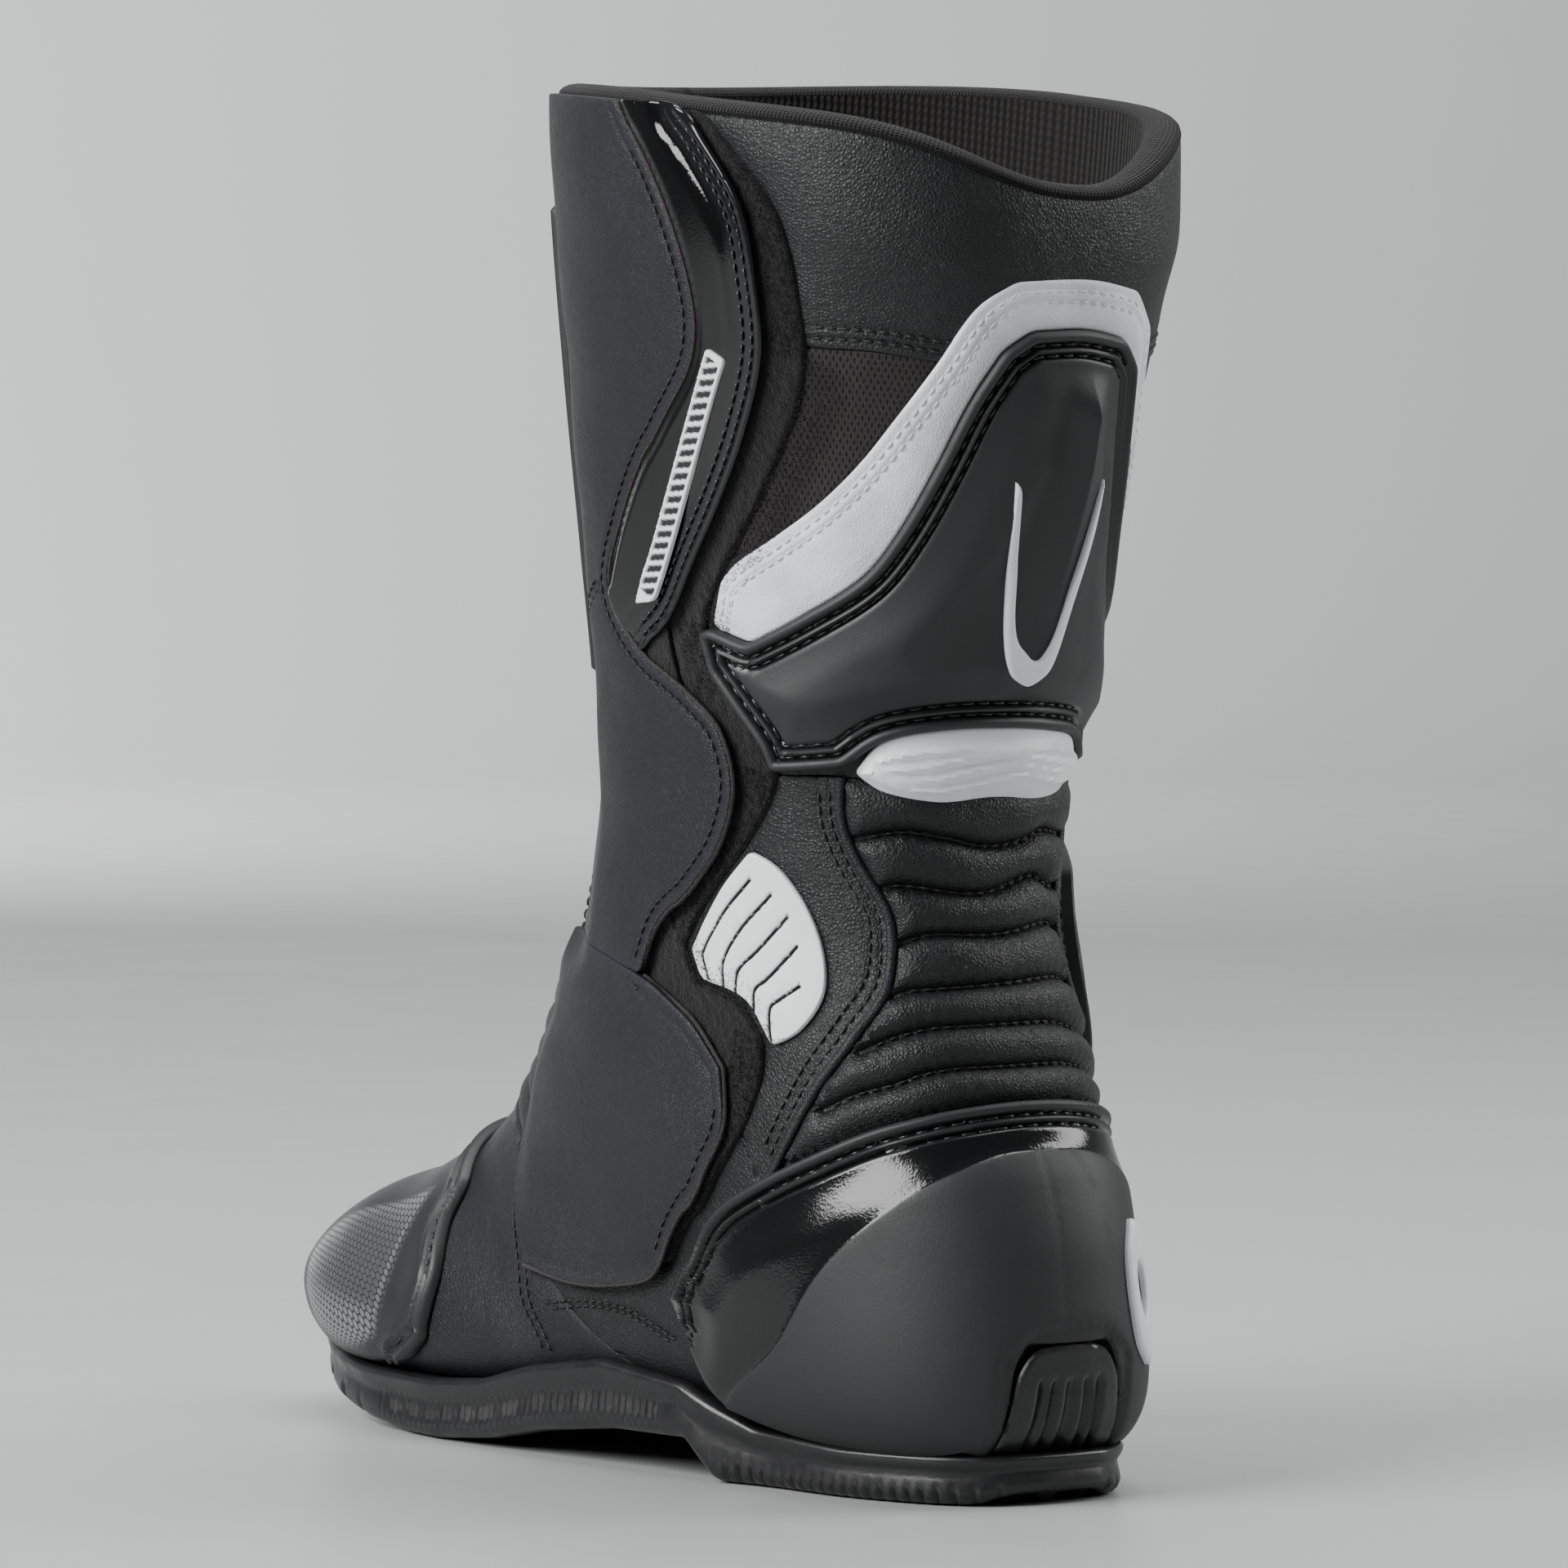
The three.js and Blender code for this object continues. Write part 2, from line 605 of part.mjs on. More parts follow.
// The shaft's lining: a tube from the mouth to the ankle.
function shaftLiningGeometry() {
  const stations = [null, 1, 2, 3, 4, 5, 5.96];
  const positions = [];
  for (const depth of [LAYER.lining[1], LAYER.lining[0]]) {
    for (const station of stations) {
      for (let column = 0; column < COLUMNS; column += 1) {
        const angle = column * GRID_ANGLE;
        positions.push(...placeOn(angle, station ?? mouthStation(angle), depth).toArray());
      }
    }
  }
  return doubleTube(positions, stations.length, false);
}

// The foot's lining: a sock from the ankle to the toe.
function footLiningGeometry() {
  const stations = [6.04, ...ROWS.filter((station) => station > 6.1 && station <= 14)];
  const positions = [];
  for (const depth of [LAYER.lining[1], LAYER.lining[0]]) {
    for (const station of stations) {
      for (let column = 0; column < COLUMNS; column += 1) {
        positions.push(...placeOn(column * GRID_ANGLE, station, depth).toArray());
      }
    }
  }
  return doubleTube(positions, stations.length, true);
}

// Joins an outer and an inner tube at the open end, and closes or joins the far end.
function doubleTube(positions, rings, closedEnd) {
  const triangles = [];
  const inner = rings * COLUMNS;
  const pushOuter = closedTube(rings, triangles, 0, true);
  const pushInner = closedTube(rings, triangles, inner, false);
  const last = (rings - 1) * COLUMNS;
  for (let i = 0; i < COLUMNS; i += 1) {
    const next = (i + 1) % COLUMNS;
    triangles.push(i, next, inner + i, next, inner + next, inner + i);
    if (!closedEnd) {
      triangles.push(last + i, inner + last + i, last + next);
      triangles.push(last + next, inner + last + i, inner + last + next);
    }
  }
  if (closedEnd) {
    capRing(pushOuter, rings - 1, 0, true);
    capRing(pushInner, rings - 1, inner, true);
  }
  return toGeometry(positions, triangles);
}

// A rolled fabric edge around the mouth.
function bindingGeometry() {
  const steps = COLUMNS;
  const sides = 6;
  const middle = (LAYER.lining[1] + LAYER.base[0]) / 2;
  const path = Array.from({ length: steps }, (_, i) => {
    const angle = (360 * i) / steps;
    return placeOn(angle, mouthStation(angle), middle);
  });
  const up = new THREE.Vector3(0, 0, 1);
  const positions = [];
  path.forEach((point, i) => {
    const forward = path[(i + 1) % steps].clone().sub(path[(i + steps - 1) % steps]).normalize();
    const across = forward.clone().cross(up).normalize();
    const rise = across.clone().cross(forward).normalize();
    for (let k = 0; k < sides; k += 1) {
      const turn = (2 * Math.PI * k) / sides;
      const corner = point.clone()
        .addScaledVector(across, BINDING_RADIUS * Math.cos(turn))
        .addScaledVector(rise, BINDING_RADIUS * Math.sin(turn));
      positions.push(...corner.toArray());
    }
  });
  const triangles = [];
  for (let i = 0; i < steps; i += 1) {
    for (let k = 0; k < sides; k += 1) {
      const a = i * sides + k;
      const b = i * sides + ((k + 1) % sides);
      const c = ((i + 1) % steps) * sides + k;
      const d = ((i + 1) % steps) * sides + ((k + 1) % sides);
      triangles.push(a, c, b, b, c, d);
    }
  }
  return toGeometry(positions, triangles);
}

function addSoleAndInside() {
  const { rubber, steel, board, foam, knit } = MATERIALS;
  addPiece('outsole', outsoleGeometry(), rubber);
  addPanel('steel_shank', [[171, 9.3], [189, 9.3], [189, 10.8], [171, 10.8]], LAYER.base, steel);
  const boardSide = [[180, 8.5], [160, 8.62], [146, 9.0], [136, 9.6], [134, 12.0], [138, 13.2], [156, 13.8]];
  const boardOutline = [...boardSide, [180, 13.9], ...mirrored(boardSide.slice(1))];
  addPanel('insole_board', boardOutline, LAYER.foam, board);
  const bedSide = [[180, 8.95], [160, 9.1], [150, 9.6], [146, 12.0], [152, 13.0]];
  addPanel('footbed', [...bedSide, [180, 13.3], ...mirrored(bedSide.slice(1))], LAYER.footbed, foam);
  addPiece('foot_lining', footLiningGeometry(), knit);
  addPiece('shaft_lining', shaftLiningGeometry(), knit);
  addPiece('collar_binding', bindingGeometry(), knit);
  const cupSide = [[180, 6.3], [150, 6.45], [128, 7.0], [122, 7.6], [128, 8.3], [146, 8.3], [165, 8.1]];
  addPanel('heel_stiffener', [...cupSide, [180, 8.05], ...mirrored(cupSide.slice(1))], LAYER.foam, board);
  const puff = [[-85, 12.6], [-40, 12.1], [0, 12.0], [40, 12.1], [85, 12.6], [100, 13.9], [-100, 13.9]];
  addPanel('toe_puff', puff, LAYER.foam, board);
  const anklePad = [[98, 4.3], [140, 4.3], [150, 5.0], [140, 5.8], [105, 6.3], [92, 5.8], [90, 5.0]];
  addPanel('ankle_pad_medial', anklePad, LAYER.foam, foam);
  addPanel('ankle_pad_lateral', mirrored(anklePad), LAYER.foam, foam);
  addPanel('shin_foam', [[-58, 0.9], [58, 0.9], [50, 4.4], [-50, 4.4]], LAYER.foam, foam);
  addPanel('calf_foam', [[112, 0.8], [248, 0.8], [240, 3.8], [120, 3.8]], LAYER.foam, foam);
}

// ------------------------------------------------------------- base leather

function addShaftPanels() {
  const { blackLeather, grainLeather, mesh, loopTape } = MATERIALS;
  addPanel('front_panel', [
    ...mouthLine(-66, CHANNEL.front),
    [CHANNEL.front, CHANNEL.bottom], [76, 5.06], [76, ANKLE_FRONT], [-66, ANKLE_FRONT],
  ], LAYER.base, blackLeather);
  addPanel('loop_panel', [
    ...mouthLine(CHANNEL.rear, 103), ...LOOP_UPPER, ...LOOP_ANKLE, ...LOOP_LOWER,
    [76, 8.1], [76, 5.06], [CHANNEL.rear, CHANNEL.bottom],
  ], LAYER.loop, loopTape);
  addPanel('shaft_collar_panel', [
    ...mouthLine(103, OUTER_FRONT), [OUTER_FRONT, COLLAR_SEAM], [157, COLLAR_SEAM - 0.02],
    [140, 1.4], [125, 1.42], [122, 0.95], [118, 0.65], [110, 0.39],
  ], LAYER.base, grainLeather);
  const meshRear = [[157, 1.43], [147, 1.78], [139, 2.08], [130, 2.34], [119, 2.59], [108, 2.72]];
  addPanel('mesh_panel', [
    [125, 1.42], [140, 1.4], ...meshRear, [114, 2.4], [120, 2.05], [124, 1.75],
  ], LAYER.base, mesh);
  addPanel('rear_shaft_panel', [
    ...meshRear, [104, 2.9], [101, 3.16], [104, 3.45], [112, 3.68], [118, 3.86], [120, 4.03],
    [138, GUARD_BOTTOM], [222, GUARD_BOTTOM], [OUTER_BACK, GUARD_BOTTOM], [OUTER_BACK, COLLAR_SEAM],
  ], LAYER.base, grainLeather);
  addPanel('lateral_shaft_panel', [
    [OUTER_BACK, COLLAR_SEAM], [OUTER_FRONT, COLLAR_SEAM],
    [OUTER_FRONT, GUARD_BOTTOM], [OUTER_BACK, GUARD_BOTTOM],
  ], LAYER.base, grainLeather);
}

function addAnklePanels() {
  const { grainLeather, whiteShell, whiteLeather, matteShell } = MATERIALS;
  addPanel('medial_ankle_panel', [
    [120, 4.03], ...BELLOWS_FRONT, [105, 7.0], [101, 6.7], [107, 6.2], [108, 5.95], [103, 5.76],
    ...reversed(LOOP_ANKLE).slice(0, -1),
  ], LAYER.base, grainLeather);
  const outerBellows = mirrored(BELLOWS_FRONT);
  addPanel('lateral_ankle_panel', [
    ...outerBellows, [OUTER_BACK, GUARD_BOTTOM], [OUTER_FRONT, GUARD_BOTTOM],
    [OUTER_FRONT, ANKLE_FRONT], [272, 6.6], [255, 7.0],
  ], LAYER.base, grainLeather);
  addPanel('achilles_accordion', [
    ...BELLOWS_FRONT, ...HEEL_TOP, ...mirrored(HEEL_TOP).slice(1), ...outerBellows,
  ], LAYER.base, grainLeather);
  addPanel('medial_flex_panel', [
    [111, 4.62], [102, 4.93], [95, 5.26], [91, 5.5], [93, 5.68], [105, 5.7], [111, 5.95],
    [119, 5.78], [127, 5.5], [129, 5.28], [128, 5.06], [124, 4.84], [118, 4.68],
  ], LAYER.overlay, whiteShell);
  addPanel('achilles_lobe', [
    [142, 3.92], ...GUARD_LOWER.slice(2, -2), [219, 3.92],
    [207, 4.07], [193, 4.1], [180, 4.05], [165, 4.1], [153, 4.06],
  ], LAYER.shell, whiteLeather);
  addPanel('lateral_ankle_brace', [
    [228, 4.7], [250, 4.5], [276, 4.8], [286, 5.3], [270, 5.9], [246, 6.3], [232, 5.9], [224, 5.3],
  ], LAYER.shell, matteShell);
}

function addFootPanels() {
  const { blackLeather, grainLeather } = MATERIALS;
  const vampSide = [[86, 9.65], [124, 9.6], [124, 12.0], [120, 13.0], [114, 14.0], [110, 15]];
  addPanel('vamp', [
    [BELLOWS_EDGE, 9.0], ...vampSide, ...mirrored(vampSide).map(([angle, station]) => [angle - 360, station]),
    [-BELLOWS_EDGE, 9.0],
  ], LAYER.base, blackLeather);
  addPanel('instep_accordion', [
    [-BELLOWS_EDGE, ANKLE_FRONT], [BELLOWS_EDGE, ANKLE_FRONT], [BELLOWS_EDGE, 9.0], [-BELLOWS_EDGE, 9.0],
  ], LAYER.base, blackLeather);
  addPanel('medial_quarter', [
    [BELLOWS_EDGE, ANKLE_FRONT], [76, ANKLE_FRONT], [76, 8.1], [86, 8.15], [88, 7.7], [94, 7.2], [101, 6.7],
    ...HEEL_TOP, ...FEATHER, [86, 9.65], [BELLOWS_EDGE, 9.0],
  ], LAYER.base, grainLeather);
  addPanel('lateral_quarter', [
    ...mirrored([...HEEL_TOP, ...FEATHER]), [272, 6.6], [OUTER_FRONT, ANKLE_FRONT],
    [360 - BELLOWS_EDGE, ANKLE_FRONT], [360 - BELLOWS_EDGE, 9.0], [274, 9.65],
  ], LAYER.base, grainLeather);
}

// ------------------------------------------------------- guards, toe and heel

const INLAY = [
  [172, 2.05], [175, 2.1], [177, 2.6], [179, 3.0], [183, 3.15], [186, 3.0], [188, 2.6], [191, 2.1],
  [194, 2.05], [191, 2.7], [188, 3.2], [182, 3.34], [177, 3.2], [174, 2.7],
];
const SLIDER_SCREWS = [
  { name: 'front', angle: 286, station: 13.4 },
  { name: 'rear', angle: 276, station: 12.4 },
];
const SCREW_RADIUS = 2.6;
const SCREW_INSET = 0.6;         // screw heads below the face of the slider
const PLATE_SIDE = [[46, 1.0], [46, 2.0], [44, 3.0], [40, 3.85]];
const FACE_SIDE = [[30, 1.25], [31, 2.1], [28, 2.9]];

const acrossFront = (side) => [...side, ...reversed(side).map(([angle, station]) => [-angle, station])];

function addGuards() {
  const { whiteLeather, matteShell, whiteShell, greyShell } = MATERIALS;
  addPanel('calf_stripe', [...STRIPE_OUTER, ...reversed(STRIPE_INNER)], LAYER.overlay, whiteLeather);
  addPanel('calf_guard', [
    ...STRIPE_INNER, [248, 3.68], ...reversed(GUARD_LOWER), [118, 3.86], [112, 3.68], [104, 3.45], [101, 3.2],
  ], LAYER.shell, matteShell, [INLAY]);
  addPanel('calf_guard_inlay', INLAY, LAYER.shell, whiteShell);
  addPanel('shin_plate', acrossFront(PLATE_SIDE), LAYER.shell, matteShell);
  const faceLayer = [SHELL + CLEAR, SHELL + CLEAR + OVERLAY];
  addPanel('shin_plate_face', acrossFront(FACE_SIDE), faceLayer, greyShell);
}

function addHeelAndToe() {
  const { glossShell, matteShell, whiteShell, greyShell, steel } = MATERIALS;
  const heelSide = [[180, 8.0], [160, 8.08], [146, 8.4], [133, 8.85], [120, 9.05], [108, 8.95], [98, 8.75]];
  const heelFront = [[90, 8.4], [90, 7.9], [94, 7.43]];
  const heelOuter = mirrored([...heelSide.slice(1), ...heelFront, ...HEEL_TOP.slice(0, -1)]);
  const padNotch = [[194, 8.05], [194, 7.5], [189, 7.38], [171, 7.38], [166, 7.5], [166, 8.05]];
  addPanel('heel_counter', [
    ...padNotch, ...heelSide.slice(1), ...heelFront, ...HEEL_TOP, ...heelOuter,
  ], LAYER.shell, glossShell);
  const emblem = [[204, 6.8], [212, 6.9], [214, 7.3], [207, 7.65], [200, 7.45], [199, 7.0]];
  addPanel('heel_emblem', emblem, [SHELL + CLEAR, SHELL + CLEAR + EMBLEM], whiteShell);
  const capSide = [[0, 9.75], [42, 9.92], [56, 10.3], [72, 10.6], [84, 10.9], [96, 11.2], [108, 11.5]];
  const capEdge = [...capSide, [114, 12.2], [112, 13.0], [100, 13.8], [88, 14.5], [86, 15]];
  addPanel('toe_cap', [
    ...capEdge, ...reversed(capEdge).slice(0, -1).map(([angle, station]) => [-angle, station]),
  ], LAYER.overlay, matteShell);
  const holes = SLIDER_SCREWS.map(({ angle, station }) => discOutline(angle, station, SCREW_RADIUS));
  const sliderLayer = [OVERLAY + CLEAR, OVERLAY + CLEAR + SHELL];
  addPanel('toe_slider', [
    [258, 12.2], [270, 11.9], [290, 12.1], [302, 12.7], [300, 13.6], [288, 14.0], [272, 13.7], [261, 13.0],
  ], sliderLayer, greyShell, holes);
  SLIDER_SCREWS.forEach(({ name }, i) => {
    addPanel(`toe_slider_screw_${name}`, holes[i], [sliderLayer[0], sliderLayer[1] - SCREW_INSET], steel);
  });
}

// ------------------------------------------------------------ zip and its flap

// The zip is straight, so it stands off its tapes where the leg bulges between its ends.
function addZip() {
  const { knit, zipMetal } = MATERIALS;
  const tapeLayer = [LAYER.foam[0], LAYER.foam[0] + TAPE];
  const tape = (from, to) => [[from, ZIP.top], [to, ZIP.top], [to, ZIP.bottom], [from, ZIP.bottom]];
  addPanel('zip_tape_front', tape(CHANNEL.front - 3, ZIP.angle), tapeLayer, knit);
  addPanel('zip_tape_rear', tape(ZIP.angle, CHANNEL.rear + 3), tapeLayer, knit);

  const start = placeOn(ZIP.angle, ZIP.top + 0.05, tapeLayer[1]);
  const end = placeOn(ZIP.angle, ZIP.bottom - 0.05, tapeLayer[1]);
  const down = end.clone().sub(start).normalize();
  const outward = surfaceNormal(ZIP.angle, 2);
  outward.addScaledVector(down, -outward.dot(down)).normalize();
  const across = down.clone().cross(outward);
  const turn = new THREE.Matrix4().makeBasis(across, down, outward);
  const bulge = Math.max(...[1, 2, 3].flatMap((station) => (
    [-TEETH.width, TEETH.width].map((side) => (
      placeOn(ZIP.angle + side, station, tapeLayer[1]).sub(start).dot(outward)
    ))
  )));
  const addBlock = (name, size, along, lift) => {
    const geometry = new THREE.BoxGeometry(size.width, size.length, size.thickness);
    const block = addPiece(name, geometry, zipMetal);
    block.quaternion.setFromRotationMatrix(turn);
    block.position.copy(start)
      .addScaledVector(down, along + size.length / 2)
      .addScaledVector(outward, lift + size.thickness / 2);
  };
  const teethLift = bulge + CLEAR;
  const sliderLift = teethLift + TEETH.thickness + CLEAR;
  const pullLift = sliderLift + SLIDER.thickness + CLEAR;
  addBlock('zip_teeth', { ...TEETH, length: start.distanceTo(end) }, 0, teethLift);
  addBlock('zip_slider', SLIDER, SLIDER_INSET, sliderLift);
  addBlock('zip_pull', PULL, SLIDER_INSET + SLIDER.length / 2, pullLift);
}

function addFlap() {
  const { blackLeather, glossShell, whiteShell, loopTape } = MATERIALS;
  addPanel('closure_flap', [
    ...FLAP_EDGE_UPPER, ...FLAP_EDGE_ANKLE, ...HINGE_LINE, [54, 0.42], [70, 0.35],
  ], LAYER.flap, blackLeather);
  addPanel('flap_edge_trim', [
    ...FLAP_EDGE_UPPER, [77, 3.2], [86, 3.43],
    [94, 3.14], [100, 2.8], [107, 2.4], [113, 1.97], [117, 1.5], [116, 1.1], [114, 0.7],
    [107, 0.42], [101, 0.24],
  ], LAYER.flap, glossShell);
  addPanel('flap_hook_panel', [
    [85, 0.4], [96, 0.4], [112, 0.9], [112, 1.6], [102, 2.3], [92, 3.0], [95, 3.6], [105, 4.0], [98, 4.6],
    [86, 5.2], [85, 4.8],
  ], LAYER.hook, loopTape);
  const badgeLayer = [LAYER.flap[1] + CLEAR, LAYER.flap[1] + CLEAR + EMBLEM];
  addPanel('flap_badge', [[106, 1.5], [110, 1.55], [92, 3.02], [87, 3.1]], badgeLayer, whiteShell);
  addPanel('instep_flap', [
    [80, 5.9], [91, 5.98], [99, 6.25], [99, 6.67], [94, 7.13], [87, 7.8], [86, 8.5], [82, 9.3], [76, 9.7],
    [60, 9.33], [46, 8.74], [36, 7.8], [42, 6.48], [44, 5.9],
  ], LAYER.instepFlap, blackLeather);
}

addSoleAndInside();
addShaftPanels();
addAnklePanels();
addFootPanels();
addGuards();
addHeelAndToe();
addZip();
addFlap();

// The origin goes to the ground, under the middle of the boot's box.
const box = new THREE.Box3().setFromObject(boot);
const middle = box.getCenter(new THREE.Vector3());
boot.position.set(-middle.x, -middle.y, -box.min.z);

export default boot;
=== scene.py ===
"""A tall motorcycle touring boot for the right foot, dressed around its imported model.

The upper is drawn on one chart. A place on it is an angle round the foot or leg, in
degrees (0 at the front or top, 90 at the inner side, 180 at the back or sole), and a
station, from 0 at the mouth of the shaft to 15 at the tip of the toe. Depths and heights
over the upper's surface are in millimetres; Blender's objects are in metres.
"""
import json
import math

import bmesh
import bpy
import numpy as np
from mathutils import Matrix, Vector
from mathutils.geometry import delaunay_2d_cdt
from mathutils.kdtree import KDTree

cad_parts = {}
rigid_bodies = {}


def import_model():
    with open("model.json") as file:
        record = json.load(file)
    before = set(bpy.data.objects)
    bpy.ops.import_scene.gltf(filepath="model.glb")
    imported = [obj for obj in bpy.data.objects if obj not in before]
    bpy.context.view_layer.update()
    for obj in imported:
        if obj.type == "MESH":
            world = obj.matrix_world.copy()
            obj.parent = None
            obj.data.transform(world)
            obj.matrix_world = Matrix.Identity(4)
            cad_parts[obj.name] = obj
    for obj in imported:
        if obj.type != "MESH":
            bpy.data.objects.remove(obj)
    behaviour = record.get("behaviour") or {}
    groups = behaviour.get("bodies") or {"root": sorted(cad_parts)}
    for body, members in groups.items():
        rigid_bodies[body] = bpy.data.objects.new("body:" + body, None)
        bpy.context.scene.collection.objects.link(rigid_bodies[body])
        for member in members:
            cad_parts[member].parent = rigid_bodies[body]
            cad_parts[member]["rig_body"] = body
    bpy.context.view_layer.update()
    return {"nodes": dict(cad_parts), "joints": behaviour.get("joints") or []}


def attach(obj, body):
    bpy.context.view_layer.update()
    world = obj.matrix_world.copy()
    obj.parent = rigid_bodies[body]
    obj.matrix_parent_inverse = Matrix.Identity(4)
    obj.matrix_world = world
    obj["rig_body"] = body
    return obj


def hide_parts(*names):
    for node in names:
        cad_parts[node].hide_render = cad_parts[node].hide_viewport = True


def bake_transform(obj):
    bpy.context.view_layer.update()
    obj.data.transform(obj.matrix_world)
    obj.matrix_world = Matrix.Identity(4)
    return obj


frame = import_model()
MM = 0.001
SHIFT = np.array([1.6035, -0.3625, 0.0])  # from the chart's own frame to the row frame, mm
RANDOM = np.random.default_rng(7)
FIBRES = 9000  # in the loose pile along the loop band

# ------------------------------------------------------------- the upper's surface

# Front y and z, back y and z, inner and outer half width, where it is widest from back
# to front, and the powers that round the front and the back of the section
STATIONS = np.array([
    (22, 340, -141, 317, 63, 64, 0.50, 2.2, 2.3),
    (22, 300, -138, 278, 60, 61, 0.50, 2.2, 2.3),
    (20, 257, -129, 239, 55, 55, 0.50, 2.2, 2.3),
    (17, 217, -117, 200, 50, 50, 0.50, 2.2, 2.3),
    (17, 184, -109, 162, 45, 46, 0.50, 2.2, 2.3),
    (23, 155, -111, 128, 42, 43, 0.48, 2.2, 2.3),
    (34, 128, -124, 92, 43, 42, 0.46, 2.2, 2.3),
    (46, 108, -137, 54, 45, 42, 0.46, 2.2, 2.3),
    (56, 94, -134, 16, 45, 44, 0.42, 2.2, 2.6),
    (67, 83, -93, 10, 45, 48, 0.38, 2.1, 2.8),
    (80, 71, -30, 13, 46, 51, 0.34, 2.1, 2.8),
    (95, 62, 30, 9, 49, 54, 0.32, 2.1, 2.8),
    (110, 57, 78, 9, 48, 52, 0.34, 2.3, 2.8),
    (124, 50, 107, 13, 42, 44, 0.38, 2.3, 2.6),
    (136, 42, 129, 22, 29, 29, 0.42, 2.2, 2.4),
    (141, 34, 140.6, 32, 3, 3, 0.50, 2.0, 2.0),
])
LAST = len(STATIONS) - 1
KNOTS = np.vstack([
    2 * STATIONS[0] - STATIONS[1], STATIONS, 2 * STATIONS[-1] - STATIONS[-2],
])


def section(station):
    """The section at each station, on a smooth curve through the table."""
    place = np.clip(station, 0, LAST)
    i = np.minimum(place.astype(int), LAST - 1)
    t = (place - i)[:, None]
    before, here, after, beyond = KNOTS[i], KNOTS[i + 1], KNOTS[i + 2], KNOTS[i + 3]
    square = 2 * before - 5 * here + 4 * after - beyond
    cube = 3 * here - before - 3 * after + beyond
    return here + 0.5 * t * (after - before + t * (square + t * cube))


def on_surface(places):
    """The points of the surface, in mm in the row frame."""
    front_y, front_z, back_y, back_z, inner, outer, widest, front_n, back_n = section(places[:, 1]).T
    angle = np.radians(places[:, 0])
    cosine, sine = np.cos(angle), np.sin(angle)
    power = 2 / np.where(cosine >= 0, front_n, back_n)
    reach = np.where(cosine >= 0, 1 - widest, widest)
    along = widest + reach * np.sign(cosine) * np.abs(cosine) ** power
    side = np.sign(sine) * np.abs(sine) ** power
    x = -side * np.where(sine >= 0, inner, outer)
    y = back_y + (front_y - back_y) * along
    z = back_z + (front_z - back_z) * along
    return np.column_stack([x, y, z]) + SHIFT


def steps_at(places):
    """How the surface runs per degree and per station at each place."""
    turn, move = np.array([2.0, 0.0]), np.array([0.0, 0.02])
    further, nearer = places + move, places - move
    further[:, 1] = np.minimum(further[:, 1], LAST)
    nearer[:, 1] = np.maximum(nearer[:, 1], 0)
    per_degree = (on_surface(places + turn) - on_surface(places - turn)) / 4
    run = (further - nearer)[:, 1:]
    return per_degree, (on_surface(further) - on_surface(nearer)) / run


def unit(vectors):
    return vectors / np.maximum(np.linalg.norm(vectors, axis=1, keepdims=True), 1e-9)


def skin(places, height=0.0):
    """Points at a height over the surface, in mm."""
    places = np.asarray(places, float)
    per_degree, per_station = steps_at(places)
    normal = unit(np.cross(per_station, per_degree))
    return on_surface(places) + normal * np.broadcast_to(height, len(places))[:, None]


def scales(places):
    """Millimetres per degree and per station at each place."""
    per_degree, per_station = steps_at(np.asarray(places, float))
    lengths = [np.linalg.norm(step, axis=1) for step in (per_degree, per_station)]
    return np.maximum(np.column_stack(lengths), 0.05)


# ------------------------------------------------------------------ lines on the chart

def smooth_line(points, closed=False, step=1.0, corner=50):
    """A curve through the points in steps of about a step in mm, sharp at sharp corners."""
    points = np.asarray(points, float)
    count = len(points)
    last = count if closed else count - 1
    mm = scales(points)
    segment = [
        (points[(i + 1) % count] - points[i]) * (mm[i] + mm[(i + 1) % count]) / 2 for i in range(last)
    ]
    length = [max(np.linalg.norm(s), 1e-6) for s in segment]

    def tangent(i):
        """The direction at a point, or None at an end or a corner."""
        if not closed and i in (0, count - 1):
            return None
        a, b = segment[i - 1] / length[i - 1], segment[i % last] / length[i % last]
        if math.degrees(math.acos(np.clip(a @ b, -1, 1))) > corner:
            return None
        return (points[(i + 1) % count] - points[i - 1]) / (length[i - 1] + length[i % last])

    line = []
    for i in range(last):
        start, end = points[i], points[(i + 1) % count]
        straight = (end - start) / length[i]
        leave, arrive = tangent(i), tangent((i + 1) % count if closed else i + 1)
        leave = straight if leave is None else leave
        arrive = straight if arrive is None else arrive
        pieces = max(1, round(length[i] / step))
        t = (np.arange(pieces) / pieces)[:, None]
        line.append(
            (2 * t**3 - 3 * t**2 + 1) * start + (t**3 - 2 * t**2 + t) * leave * length[i]
            + (3 * t**2 - 2 * t**3) * end + (t**3 - t**2) * arrive * length[i]
        )
    if not closed:
        line.append(points[-1:])
    return np.vstack(line)


def rounded(outline, step=1.0, passes=2, corner=50):
    """A closed outline as a fine line with its corners a little rounded."""
    line = smooth_line(outline, True, step, corner)
    for _ in range(passes):
        line = (np.roll(line, 1, 0) + 2 * line + np.roll(line, -1, 0)) / 4
    return line


def beside(line, distance, closed=False):
    """The line moved sideways in mm: inwards for a closed outline, leftwards for a line."""
    line = np.asarray(line, float)
    mm = scales(line)
    if closed:
        run = (np.roll(line, -1, 0) - np.roll(line, 1, 0)) * mm
        x, y = line.T
        turn = np.sign(np.sum(x * np.roll(y, -1) - np.roll(x, -1) * y))
    else:
        run = np.gradient(line, axis=0) * mm
        turn = 1
    run = unit(run)
    return line + turn * distance * np.column_stack([-run[:, 1], run[:, 0]]) / mm


def away_from(line, place, distance):
    """1 if moving the line leftwards takes it away from a place on the chart, else -1."""
    before = np.linalg.norm(line.mean(0) - place)
    return 1 if np.linalg.norm(beside(line, distance).mean(0) - place) > before else -1


